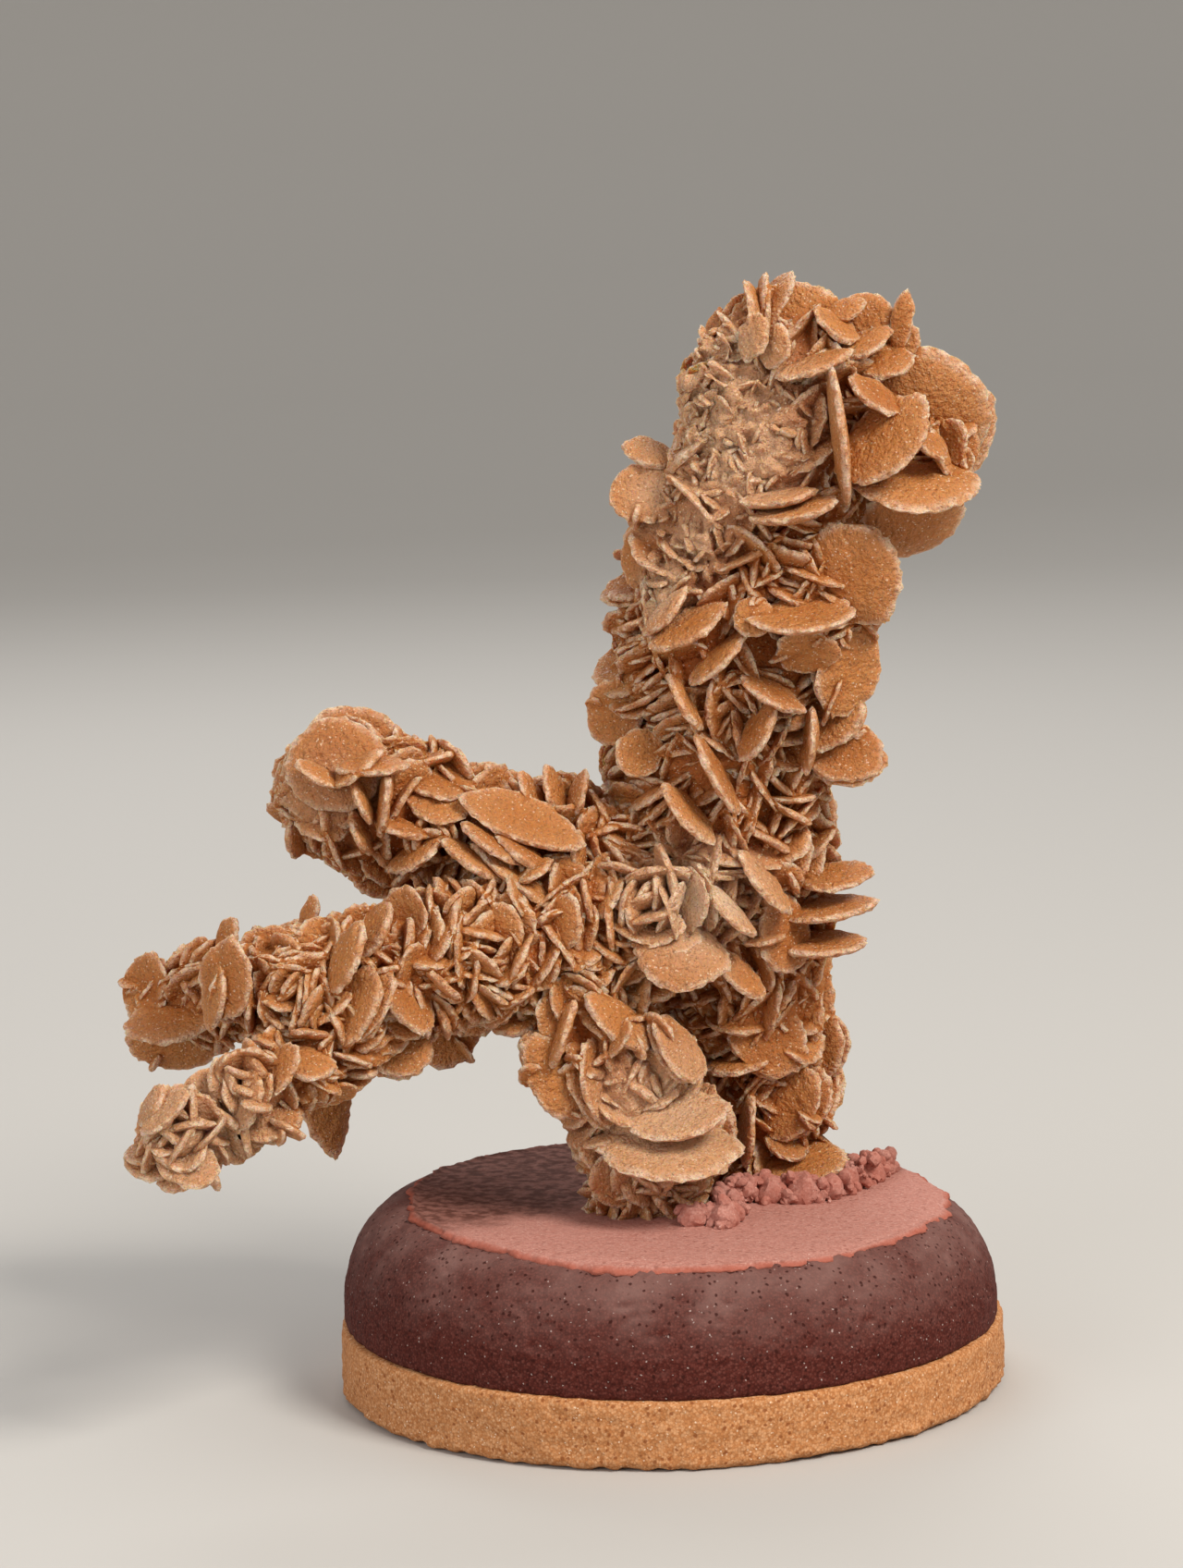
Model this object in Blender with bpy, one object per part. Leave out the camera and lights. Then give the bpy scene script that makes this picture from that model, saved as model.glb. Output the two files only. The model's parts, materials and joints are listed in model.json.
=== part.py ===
"""Gypsum sand rose: a branching cluster of lens-shaped blades, set in a round base cast from three sands.

Units are metres and +Z is up. The origin is the centre of the base's flat underside, and -Y is the front.
The tables below give positions and sizes in millimetres, and MM turns them into metres.
"""

import math
import random

import bmesh
import bpy
from mathutils import Matrix, Vector, noise

MM = 0.001
GAP = 0.3  # clearance between touching pieces, in millimetres

# Base: three layers of cast sand, with a shoulder that rounds over to a nearly flat top.
BASE_RADIUS = 50.0
BODY_RADIUS = 49.2
FOOT_LAYER_HEIGHT = 10.0
SHOULDER_START = 12.4
BASE_HEIGHT = 27.3
FLAT_TOP_RADIUS = 38.2
FILL_RADIUS = 40.7
FILL_CENTRE = (1.0, -1.0)
FILL_DEPTH = 6.0
FILL_RISE = 0.4
BASE_SIDES = 32
WEDGE = 0.054  # the cast is a little thicker at its left side than at its right

# Blades: lenses with a thin rim, as thick in the middle as this share of their length.
BLADE_SIDES = 6
BLADE_THICKNESS_SHARE = 0.27
MIN_BLADE_THICKNESS = 1.7
CORE_SIDES = 8
CORE_DEPTH = 0.86  # the mass is a little flatter from front to back than it is wide
CORE_UNEVENNESS = 0.2  # share by which the mass's radius swells and shrinks
LUMPS_PER_MM = 0.17
CORE_TIP = 0.35  # how far a rounded end stands out, as a share of its radius
STAND_OUT = -1.0  # how far a blade's middle lies outside the mass, in millimetres
OWN_ROOM = 0.8  # share of a large blade's half-length that smaller blades keep away from it

# Centre lines of each branch, its main line first and then any side lobes. A point on a line is x, y, z and
# the radius of the mass that the blades stand on.
BRANCHES = {
    "rose_trunk": [
        [
            (16, 11, 19, 7.0),
            (16, 11, 32, 8.0),
            (15, 10, 44, 8.5),
            (14, 8, 56, 10.0),
            (12, 6, 68, 13.0),
            (9.5, 5, 80, 14.5),
            (10, 5, 94, 15.5),
            (11.5, 4, 108, 16.0),
            (14, 3, 122, 15.5),
            (18, 1, 134, 15.0),
            (23, 1, 144, 15.0),
            (25, 1, 153, 10.5),
        ],
        [(24, 1, 143, 8.0), (34, 1, 141, 8.0), (42, 1, 138, 5.0)],
        [(9, 4, 77, 10.0), (5, -2, 74, 9.5), (3, -5, 69, 8.0)],
        [(18, -2, 122, 8.0), (26, -5, 119, 6.5), (28.5, -5, 116, 4.5)],
    ],
    "rose_upper_arm": [
        [
            (0, 2, 77, 9.0),
            (-11, 1, 80, 9.0),
            (-21, 0, 81.5, 8.5),
            (-32, 0, 84.5, 8.5),
            (-41, -1, 88.5, 10.0),
            (-47, -1, 90.5, 8.5),
        ],
    ],
    "rose_lower_arm": [
        [
            (-3, -3, 70, 9.0),
            (-15, -7, 70, 9.5),
            (-28, -13, 68, 9.0),
            (-40, -18, 66, 8.0),
            (-51, -23, 66, 6.5),
            (-58, -25, 66, 5.0),
        ],
    ],
    "rose_lower_twig": [
        [
            (-43, -22, 62, 5.0),
            (-52, -29, 56, 4.5),
            (-60, -33, 50.5, 4.0),
            (-66, -35, 48, 5.5),
            (-70, -36, 47, 4.5),
        ],
    ],
    "rose_rear_arm": [
        [
            (0, 10, 66, 8.0),
            (-16, 15, 63, 8.0),
            (-34, 25, 59, 7.5),
            (-52, 33, 57, 7.0),
            (-66, 39, 54.5, 6.5),
            (-77, 42, 52.5, 6.0),
        ],
    ],
    "rose_front_leg": [
        [
            (-13, -6, 64, 7.0),
            (-11, -10, 56, 7.5),
            (-6, -11, 48, 8.5),
            (-2, -9.5, 39, 9.0),
            (-3, -7, 30, 7.5),
            (-3, -7, 22, 6.5),
        ],
    ],
}

# The large blades that give each branch its outline. Each is its centre x, y, z, half its length, half its
# width, its tilt away from facing the front (90 lies flat) and the turn of its length from level, in degrees.
LARGE_BLADES = {
    "rose_trunk": [
        # head: the fan of big discs at its right, and the discs over its top
        (22, -3, 156, 8.6, 8, 35, 0),
        (37, -3, 158, 6, 3.5, 30, 60),
        (31.5, -2, 154, 8, 6.5, 30, 20),
        (40, -1, 142.5, 11.7, 11, -25, 0),
        (41, 4, 145.5, 9, 8, -10, 20),
        (42, 4, 136, 8, 7, -10, 20),
        (28, -11, 142, 10, 6, 88, 94),
        (35, -8.5, 141, 8.5, 4.5, 50, 39),
        (39, -9, 135.5, 9.4, 9, 68, -3),
        (38.5, -5, 128, 9.2, 8, -40, 15),
        (14, -12, 148, 6, 5, 30, -30),
        (14.5, -2, 151.5, 7, 5.5, 25, 60),
        # neck: a stack of near-level spindles beside one broad oval disc
        (24, -12.5, 129, 5, 4.5, 70, 12),
        (22, -13.5, 125, 6.8, 5, 80, -9),
        (30, -11, 122, 8.1, 6.9, -15, -60),
        (22, -13, 115, 7.8, 6, 70, 3),
        (28.5, -7, 108, 7, 5.5, -30, 80),
        (5.5, -11, 115, 6.3, 4.5, 68, 29),
        (0.5, -1, 133, 6, 5, 25, 80),
        (2, 0, 140.5, 5, 3, 65, -10),
        (1, -1, 124, 5.5, 4.5, 30, 80),
        # middle
        (9.5, -11, 110.5, 5.4, 4, 75, 38),
        (9, -11, 93, 6.5, 4.5, 80, -65),
        (-4, 1, 101.5, 5, 4, 25, 80),
        (22, -5, 97.5, 6, 5, 84, 88),
        (28, 1, 94.5, 6.2, 5.5, 30, 60),
        (28, 0, 87, 5.5, 4, 35, 5),
        (17.5, -7.5, 91, 5.5, 4.5, 60, -50),
        # centre: the half-disc ledge and the blades that stand out at the right
        (2.5, -11, 66.5, 7, 7, 50, -8),
        (25, -3, 71, 7.4, 6, 82, 8),
        (24, -4, 66, 6.6, 6, 82, 2),
        (13.5, -8, 64.5, 6.1, 3, 40, -60),
        (6.5, -9, 84.5, 5.8, 4.8, 60, -20),
        (-2, -9.5, 78.5, 6, 4.5, 70, 35),
        (19, -6, 81, 6, 4.5, 45, -60),
        # foot
        (15.5, 0, 51.5, 6.4, 5.5, 15, -40),
        (19.5, 2, 40.5, 6.1, 4, 30, 60),
        (21, 3, 31.5, 6.7, 6, 68, 8),
        (12.5, 1, 37, 5.9, 4.5, 80, 80),
        (23, 8, 48.5, 6.3, 5, 20, 85),
    ],
    "rose_upper_arm": [
        # the rounded head of nested discs
        (-46.5, 0, 96.5, 9.1, 6.5, 25, 10),
        (-50, -7, 92.5, 8.2, 7, 40, 75),
        (-42.5, -11, 93, 6.8, 5.5, 60, 25),
        (-39.5, -10, 88.5, 6.2, 5, 65, -40),
        (-46, -8, 83, 6.8, 6, 30, -45),
        # the long slanting blade and the parallel spindles below it
        (-20, -9, 85.5, 10.2, 6, 62, -22),
        (-26.5, -10, 83, 4.3, 3.5, 75, -42),
        (-28.5, -4, 90, 5.5, 4.5, 60, -25),
        (-34, -9, 85, 6, 5, 65, -30),
        (-15, -3, 89.5, 4.7, 4, 70, -20),
    ],
    "rose_lower_arm": [
        (-62, -29, 67.5, 6.1, 4.5, 40, 95),
        (-56.5, -28.5, 68.5, 5.5, 5, 55, 75),
        (-49, -30, 69.5, 5, 4, 65, 60),
        (-42, -24, 73.5, 5.8, 4.5, 70, 50),
        (-44, -29, 63.5, 6.6, 4.5, 55, 65),
        (-33, -20, 71, 6, 4.5, 70, 55),
        (-39, -20, 56, 5.4, 5, 30, -20),
        (-26.5, -18, 66.5, 5.4, 4, 65, 35),
        (-29, -14, 74.5, 6, 4.5, 70, -50),
    ],
    "rose_lower_twig": [
        # the small ball of curved discs at its end
        (-68.5, -38, 46.5, 7.8, 7.5, -20, 15),
        (-69, -42, 51.5, 6, 4.5, 60, 35),
        (-72, -38, 53, 4, 3, 70, 60),
        (-60, -38, 52.5, 5, 4, 50, 70),
        (-55, -36, 56, 5, 4, 60, 50),
        (-57, -35, 48.5, 4.7, 3.5, 55, 5),
    ],
    "rose_rear_arm": [
        (-77, 34, 50.5, 7.6, 6, 65, 5),
        (-81, 40, 55.5, 5.3, 4.5, 40, 70),
        (-78, 40, 45.5, 7.4, 5, -20, -10),
        (-54.5, 33, 40.5, 11.5, 4, 30, -75),
        (-54.5, 34, 66, 4, 2.5, 60, 70),
        (-70.5, 36, 55, 5.3, 4.5, 30, 30),
        (-34, 28, 48, 5.8, 5, 20, -10),
    ],
    "rose_front_leg": [
        (-16, -14, 50.5, 7, 4, 25, -65),
        (-15, -14.5, 56.5, 5.1, 3.5, 85, 70),
        (-10, -16, 49, 6.5, 4, 55, -75),
        (-9, -13.5, 56.5, 5.5, 4.5, 50, -30),
        (-0.5, -14.5, 51, 5.7, 4.5, 45, -45),
        (-0.5, -15.5, 44, 8.1, 6, -40, 2),
        (0, -17, 40, 10.4, 9.5, 73, -3),
        (0, -12, 33.5, 5.5, 4, 40, 20),
        (-19.5, -10.5, 57, 5, 3.5, 60, 10),
    ],
}

# Smaller blades cover what the large ones leave: their spacing, half-length range and seed for each branch.
COVER = {
    "rose_trunk": (18.5, (7.0, 9.0), 11),
    "rose_upper_arm": (14.0, (5.5, 7.5), 12),
    "rose_lower_arm": (14.0, (5.0, 7.0), 13),
    "rose_lower_twig": (14.0, (4.0, 5.0), 14),
    "rose_rear_arm": (15.0, (6.0, 8.0), 15),
    "rose_front_leg": (14.5, (5.0, 7.0), 16),
}

# Each piece is grown around those listed here, so it is cut back from them by GAP.
GROWN_AROUND = {
    "rose_trunk": [],
    "rose_upper_arm": ["rose_trunk"],
    "rose_lower_arm": ["rose_trunk", "rose_upper_arm"],
    "rose_front_leg": ["rose_trunk", "rose_lower_arm"],
    "rose_rear_arm": ["rose_trunk", "rose_upper_arm", "rose_lower_arm"],
    "rose_lower_twig": ["rose_lower_arm", "rose_rear_arm"],
}

# The rose's two feet go through the fill as plain plugs: x, y and radius.
PLUGS = {"rose_trunk": (16.0, 11.0, 6.5), "rose_front_leg": (-3.0, -7.0, 5.5)}
PLUG_SIDES = 10

# Crumbs of the fill heaped at the front of the trunk's foot: x, y and radius of each.
CRUMBS = [
    (3.5, -18.5, 2.1),
    (8.0, -18.5, 2.2),
    (8.5, -9.0, 2.6),
    (11.0, -3.0, 2.7),
    (15.0, -3.5, 2.5),
    (20.0, -4.0, 2.7),
    (24.5, -1.5, 2.5),
    (27.5, 3.5, 2.4),
    (31.0, 9.5, 2.6),
    (33.5, 15.0, 2.3),
]


def clear_scene():
    for item in list(bpy.data.objects):
        bpy.data.objects.remove(item, do_unlink=True)


def stone_material(name, colour, roughness):
    """A plain mineral finish."""
    material = bpy.data.materials.new(name)
    material.use_nodes = True
    shader = material.node_tree.nodes["Principled BSDF"]
    shader.inputs["Base Color"].default_value = (*colour, 1.0)
    shader.inputs["Roughness"].default_value = roughness
    shader.inputs["Metallic"].default_value = 0.0
    material.diffuse_color = (*colour, 1.0)
    return material


def object_from(bm, name):
    """An object in metres from a bmesh in millimetres."""
    bmesh.ops.scale(bm, vec=(MM, MM, MM), verts=bm.verts)
    mesh = bpy.data.meshes.new(name)
    bm.to_mesh(mesh)
    bm.free()
    item = bpy.data.objects.new(name, mesh)
    bpy.context.scene.collection.objects.link(item)
    return item


def discard(*items):
    for item in items:
        bpy.data.objects.remove(item, do_unlink=True)


def boolean(target, operation, other, overlapping=False):
    """Combines other into target and leaves the result as target's own mesh.

    EXACT joins shapes that overlap themselves, and MANIFOLD cuts closed shapes from each other.
    """
    modifier = target.modifiers.new(operation, "BOOLEAN")
    modifier.operation = operation
    modifier.solver = "EXACT" if overlapping else "MANIFOLD"
    modifier.use_self = overlapping
    modifier.object = other
    graph = bpy.context.evaluated_depsgraph_get()
    result = bpy.data.meshes.new_from_object(target.evaluated_get(graph))
    target.modifiers.clear()
    spent = target.data
    target.data = result
    bpy.data.meshes.remove(spent)


def keep_largest_shell(item):
    """Removes chips that a cut has left loose."""
    bm = bmesh.new()
    bm.from_mesh(item.data)
    unseen = set(bm.verts)
    shells = []
    while unseen:
        queue = [unseen.pop()]
        shell = set(queue)
        while queue:
            for edge in queue.pop().link_edges:
                for vertex in edge.verts:
                    if vertex not in shell:
                        shell.add(vertex)
                        queue.append(vertex)
        unseen -= shell
        shells.append(shell)
    shells.sort(key=len)
    for shell in shells[:-1]:
        bmesh.ops.delete(bm, geom=list(shell), context="VERTS")
    bm.to_mesh(item.data)
    bm.free()


def tilt_matrix(tilt, roll):
    """Turns a disc that faces the front by tilt about its length, and then its length by roll from level."""
    face_front = Matrix.Rotation(math.radians(90), 3, "X")
    tilted = Matrix.Rotation(math.radians(-tilt), 3, "X")
    rolled = Matrix.Rotation(math.radians(-roll), 3, "Y")
    return rolled @ tilted @ face_front


def add_blade(bm, centre, half_length, half_width, turn, rng, grow=0.0):
    """A lens with an uneven outline: two shallow cones that meet at the rim."""
    thickness = max(MIN_BLADE_THICKNESS, BLADE_THICKNESS_SHARE * half_length) + 2 * grow
    rim = []
    for step in range(BLADE_SIDES):
        angle = 2 * math.pi * (step + rng.uniform(-0.25, 0.25)) / BLADE_SIDES
        reach = rng.uniform(0.92, 1.06)
        along = (half_length * reach + 2 * grow) * math.cos(angle)
        across = (half_width * reach + 2 * grow) * math.sin(angle)
        rim.append(bm.verts.new(centre + turn @ Vector((along, across, 0))))
    shift = turn @ Vector((rng.uniform(-0.15, 0.15) * half_length, 0, 0))
    up = turn @ Vector((0, 0, thickness / 2))
    top = bm.verts.new(centre + shift + up)
    bottom = bm.verts.new(centre + shift - up)
    for step in range(BLADE_SIDES):
        nearer = rim[step]
        farther = rim[(step + 1) % BLADE_SIDES]
        bm.faces.new((nearer, farther, top))
        bm.faces.new((farther, nearer, bottom))


def join_rings(bm, rings):
    """Triangles between each ring of vertices and the next."""
    for lower, upper in zip(rings, rings[1:]):
        for step in range(len(lower)):
            following = (step + 1) % len(lower)
            bm.faces.new((lower[step], lower[following], upper[following]))
            bm.faces.new((lower[step], upper[following], upper[step]))


def frame_along(stations):
    """For each station of a branch: its centre, tangent, two directions across it, and its radius."""
    frames = []
    for index, (x, y, z, radius) in enumerate(stations):
        before = Vector(stations[max(index - 1, 0)][:3])
        after = Vector(stations[min(index + 1, len(stations) - 1)][:3])
        tangent = (after - before).normalized()
        side = tangent.cross(Vector((0, 1, 0))).normalized()
        frames.append((Vector((x, y, z)), tangent, side, tangent.cross(side), radius))
    return frames


def add_core(bm, stations, grow=0.0):
    """The lumpy mass inside a branch: rings along its centre line, closed at both ends."""
    frames = frame_along(stations)
    rings = []
    for centre, _tangent, side, other, radius in frames:
        ring = []
        for step in range(CORE_SIDES):
            angle = 2 * math.pi * step / CORE_SIDES
            outward = side * math.cos(angle) + other * math.sin(angle)
            swell = CORE_UNEVENNESS * noise.noise((centre + outward * radius) * LUMPS_PER_MM)
            reach = radius * (1 + swell) + grow
            spot = side * math.cos(angle) + other * math.sin(angle) * CORE_DEPTH
            ring.append(bm.verts.new(centre + spot * reach))
        rings.append(ring)
    join_rings(bm, rings)
    for ring, frame, sign in ((rings[0], frames[0], -1), (rings[-1], frames[-1], 1)):
        centre, tangent, _side, _other, radius = frame
        tip = bm.verts.new(centre + tangent * sign * (CORE_TIP * radius + grow))
        for step in range(CORE_SIDES):
            pair = (ring[step], ring[(step + 1) % CORE_SIDES])
            bm.faces.new((*pair[::sign], tip))


def within_branch(place, name):
    """Whether a point lies in a branch's mass."""
    for line in BRANCHES[name]:
        for first, second in zip(line, line[1:]):
            start = Vector(first[:3])
            run = Vector(second[:3]) - start
            share = min(max((place - start).dot(run) / run.length_squared, 0), 1)
            radius = first[3] + (second[3] - first[3]) * share
            if (place - start - run * share).length < radius + STAND_OUT:
                return True
    return False


def cover_blades(name):
    """Blades at even spacing round a branch that stand out of it like fins, where no large blade is near."""
    spacing, (shortest, longest), seed = COVER[name]
    rng = random.Random(seed)
    large = [(Vector(blade[:3]), blade[3]) for blade in LARGE_BLADES[name]]
    found = []

    def offer(place, outward):
        half_length = rng.uniform(shortest, longest)
        half_width = half_length * rng.uniform(0.75, 0.95)
        turn = fin_matrix(outward, rng)
        crowded = any((place - spot).length < OWN_ROOM * reach for spot, reach in large)
        if not crowded and not any(within_branch(place, other) for other in GROWN_AROUND[name]):
            found.append((place, half_length, half_width, turn))

    for line in BRANCHES[name]:
        frames = frame_along(line)
        start = 0.0
        for first, second in zip(frames, frames[1:]):
            run = (second[0] - first[0]).length
            while start < run:
                share = start / run
                centre = first[0].lerp(second[0], share)
                radius = first[4] + (second[4] - first[4]) * share
                count = max(3, round(2 * math.pi * radius / spacing))
                offset = rng.uniform(0, 2 * math.pi)
                for step in range(count):
                    angle = offset + 2 * math.pi * step / count
                    outward = first[2] * math.cos(angle) + first[3] * math.sin(angle)
                    slide = first[1] * rng.uniform(-0.25, 0.25) * spacing
                    offer(centre + outward * (radius + STAND_OUT) + slide, outward)
                start += spacing
            start -= run
        tip, tangent, _side, _other, radius = frames[-1]
        for _ in range(4):
            scatter = Vector([rng.uniform(-0.6, 0.6) for _ in range(3)])
            outward = (tangent + scatter).normalized()
            offer(tip + outward * radius * 0.7, outward)
    return found


def fin_matrix(outward, rng):
    """Turns a disc so that its plane holds, or nearly holds, the outward direction."""
    wild = Vector([rng.uniform(-1, 1) for _ in range(3)])
    normal = outward.cross(wild).normalized()
    normal = (normal + outward * rng.uniform(-0.6, 0.6)).normalized()
    length = normal.cross(outward).normalized()
    return Matrix((length, normal.cross(length), normal)).transposed()


def rose_branch(name, grow=0.0):
    """One branch of the rose, its core and blades joined in one solid, or that solid grown outwards."""
    core = bmesh.new()
    add_core(core, BRANCHES[name][0], grow)
    solid = object_from(core, name if grow == 0 else name + "_clearance")
    blades = bmesh.new()
    for lobe in BRANCHES[name][1:]:
        add_core(blades, lobe, grow)
    rng = random.Random(name)
    for x, y, z, half_length, half_width, tilt, roll in LARGE_BLADES[name]:
        turn = tilt_matrix(tilt, roll)
        add_blade(blades, Vector((x, y, z)), half_length, half_width, turn, rng, grow)
    for place, half_length, half_width, turn in cover_blades(name):
        add_blade(blades, place, half_length, half_width, turn, rng, grow)
    cluster = object_from(blades, name + "_blades")
    boolean(solid, "UNION", cluster, overlapping=True)
    discard(cluster)
    return solid


def base_height_at(x, height):
    """A height in the cast, which is wedge-shaped from left to right."""
    return height * (1 - WEDGE * x / BASE_RADIUS)


def shoulder_height(radius):
    """Height of the cast's top at a distance from its axis, before the wedge."""
    if radius <= FLAT_TOP_RADIUS:
        return BASE_HEIGHT
    share = (radius - FLAT_TOP_RADIUS) / (BODY_RADIUS - FLAT_TOP_RADIUS)
    return SHOULDER_START + (BASE_HEIGHT - SHOULDER_START) * math.sqrt(max(0.0, 1 - share * share))


def circle_ring(radius, height):
    """Points round the base's axis at one radius and height."""
    ring = []
    for step in range(BASE_SIDES):
        angle = 2 * math.pi * step / BASE_SIDES
        x = radius * math.cos(angle)
        ring.append((x, radius * math.sin(angle), base_height_at(x, height)))
    return ring


def fill_ring(inset, height=None, rise=0.0):
    """Points along the fill's wandering edge, at one height or on the cast's own surface."""
    ring = []
    for step in range(BASE_SIDES):
        angle = 2 * math.pi * step / BASE_SIDES
        wander = 1 + 0.012 * math.sin(3 * angle + 0.7) + 0.009 * math.sin(7 * angle + 2.1)
        reach = FILL_RADIUS * wander - inset
        x = FILL_CENTRE[0] + reach * math.cos(angle)
        y = FILL_CENTRE[1] + reach * math.sin(angle)
        level = shoulder_height(math.hypot(x, y)) + rise if height is None else height
        ring.append((x, y, base_height_at(x, level)))
    return ring


def layer_from(name, rings):
    """A closed solid from rings of points, the first at its lower edge and the last capped."""
    bm = bmesh.new()
    placed = [[bm.verts.new(point) for point in ring] for ring in rings]
    join_rings(bm, placed)
    bm.faces.new(placed[0][::-1])
    bm.faces.new(placed[-1])
    bmesh.ops.triangulate(bm, faces=bm.faces)
    return object_from(bm, name)


def base_foot_layer():
    """The tan foot: a flat disc with softened rims."""
    profile = [
        (BASE_RADIUS - 1.2, 0.0),
        (BASE_RADIUS - 0.2, 0.9),
        (BASE_RADIUS, 4.0),
        (BASE_RADIUS - 0.2, FOOT_LAYER_HEIGHT - 0.6),
        (BASE_RADIUS - 0.9, FOOT_LAYER_HEIGHT),
    ]
    return layer_from("base_foot_layer", [circle_ring(radius, height) for radius, height in profile])


def base_body():
    """The maroon body: straight wall, rounded shoulder and flat top, with a shallow recess for the fill."""
    rings = [circle_ring(BODY_RADIUS, FOOT_LAYER_HEIGHT + GAP)]
    for degrees in (0, 18, 36, 54):
        share = math.sin(math.radians(90 - degrees))
        radius = FLAT_TOP_RADIUS + (BODY_RADIUS - FLAT_TOP_RADIUS) * share
        rings.append(circle_ring(radius, shoulder_height(radius)))
    rings.append(fill_ring(0))
    rings.append(fill_ring(0, BASE_HEIGHT - FILL_DEPTH))
    return layer_from("base_body", rings)


def fill_crumbs(grow=0.0):
    """Small rough lumps that stand out of the fill's top in a curved ridge."""
    bm = bmesh.new()
    rng = random.Random(5)
    for x, y, radius in CRUMBS:
        height = base_height_at(x, BASE_HEIGHT + FILL_RISE) + 0.35 * radius
        lump = bmesh.ops.create_icosphere(bm, subdivisions=1, radius=1)
        for vertex in lump["verts"]:
            vertex.co *= radius * rng.uniform(0.85, 1.15) + 1.3 * grow
            vertex.co += Vector((x, y, height))
    return object_from(bm, "fill_crumbs")


def plug(name, grow=0.0):
    """The part of a foot that stands in the fill, from just above the recess's floor to inside the rose."""
    x, y, radius = PLUGS[name]
    low = base_height_at(x, BASE_HEIGHT - FILL_DEPTH) + 2 * GAP - 4 * grow
    high = base_height_at(x, BASE_HEIGHT) + 5.0
    bm = bmesh.new()
    rings = []
    for height in (low, high):
        ring = []
        for step in range(PLUG_SIDES):
            angle = 2 * math.pi * step / PLUG_SIDES
            reach = radius + grow
            ring.append(bm.verts.new((x + reach * math.cos(angle), y + reach * math.sin(angle), height)))
        rings.append(ring)
    join_rings(bm, rings)
    bm.faces.new(rings[0][::-1])
    bm.faces.new(rings[1])
    return object_from(bm, name + "_plug")


def base_top_fill():
    """The red-pink filling: an uneven disc in the body's recess, with a ridge of crumbs and two sockets."""
    rings = [
        fill_ring(GAP, BASE_HEIGHT - FILL_DEPTH + GAP),
        fill_ring(GAP, rise=0.1),
        fill_ring(3.5, rise=FILL_RISE),
        fill_ring(8.0, BASE_HEIGHT + FILL_RISE),
    ]
    fill = layer_from("base_top_fill", rings)
    crumbs = fill_crumbs()
    boolean(fill, "UNION", crumbs, overlapping=True)
    discard(crumbs)
    for name in PLUGS:
        socket = plug(name, GAP)
        boolean(fill, "DIFFERENCE", socket)
        discard(socket)
    return fill


def ground_block():
    """A block that reaches up to just above the fill's top."""
    bm = bmesh.new()
    bmesh.ops.create_cube(bm, size=2 * BASE_RADIUS)
    for vertex in bm.verts:
        if vertex.co.z > 0:
            vertex.co.z = base_height_at(vertex.co.x, BASE_HEIGHT + FILL_RISE) + GAP
    return object_from(bm, "ground_block")


def stand_in_fill(solid, name, ground, crumbs_clearance):
    """Ends a foot of the rose just above the fill and gives it the plug that goes through it."""
    boolean(solid, "DIFFERENCE", ground)
    boolean(solid, "DIFFERENCE", crumbs_clearance)
    foot = plug(name)
    boolean(solid, "UNION", foot)
    discard(foot)


def build():
    clear_scene()
    sand = stone_material("tan_sand", (0.52, 0.27, 0.12), 0.9)
    maroon = stone_material("maroon_sand", (0.085, 0.022, 0.020), 0.75)
    pink = stone_material("red_pink_sand", (0.36, 0.12, 0.09), 0.85)
    gypsum = stone_material("gypsum_blades", (0.45, 0.24, 0.12), 0.55)

    foot_layer = base_foot_layer()
    body = base_body()
    fill = base_top_fill()
    ground = ground_block()
    crumbs_clearance = fill_crumbs(GAP)

    branches = {}
    clearances = {}
    for name, neighbours in GROWN_AROUND.items():
        solid = rose_branch(name)
        for neighbour in neighbours:
            boolean(solid, "DIFFERENCE", clearances[neighbour])
        if name in PLUGS:
            stand_in_fill(solid, name, ground, crumbs_clearance)
        keep_largest_shell(solid)
        branches[name] = solid
        clearances[name] = rose_branch(name, GAP)
    discard(ground, crumbs_clearance, *clearances.values())

    foot_layer.data.materials.append(sand)
    body.data.materials.append(maroon)
    fill.data.materials.append(pink)
    for solid in branches.values():
        solid.data.materials.append(gypsum)


build()
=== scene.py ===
"""Looks of the gypsum sand rose and its cast sand base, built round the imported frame.

Lengths in the tables are millimetres, +Z is up and -Y is the front. Plates that show in the picture
are placed by their middle in its 1280 x 1696 frame and by their depth y.
"""

import json
import math
import random

import bpy
import numpy as np
from mathutils import Matrix, Vector

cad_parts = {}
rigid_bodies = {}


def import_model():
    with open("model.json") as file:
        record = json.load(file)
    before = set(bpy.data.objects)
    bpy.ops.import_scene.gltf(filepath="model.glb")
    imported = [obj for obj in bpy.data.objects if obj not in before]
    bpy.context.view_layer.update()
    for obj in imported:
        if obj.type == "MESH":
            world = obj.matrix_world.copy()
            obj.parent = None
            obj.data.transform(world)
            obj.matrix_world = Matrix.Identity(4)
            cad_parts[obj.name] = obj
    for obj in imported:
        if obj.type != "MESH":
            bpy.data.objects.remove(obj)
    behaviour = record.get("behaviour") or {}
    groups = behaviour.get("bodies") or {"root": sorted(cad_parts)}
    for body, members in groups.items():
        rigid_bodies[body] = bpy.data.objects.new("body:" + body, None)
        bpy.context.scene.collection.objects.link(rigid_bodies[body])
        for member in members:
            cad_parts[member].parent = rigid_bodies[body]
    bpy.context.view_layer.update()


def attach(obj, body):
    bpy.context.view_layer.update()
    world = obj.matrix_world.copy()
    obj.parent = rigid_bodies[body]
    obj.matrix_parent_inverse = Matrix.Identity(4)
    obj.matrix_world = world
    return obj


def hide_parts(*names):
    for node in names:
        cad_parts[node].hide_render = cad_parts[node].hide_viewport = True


MM = 0.001

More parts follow.
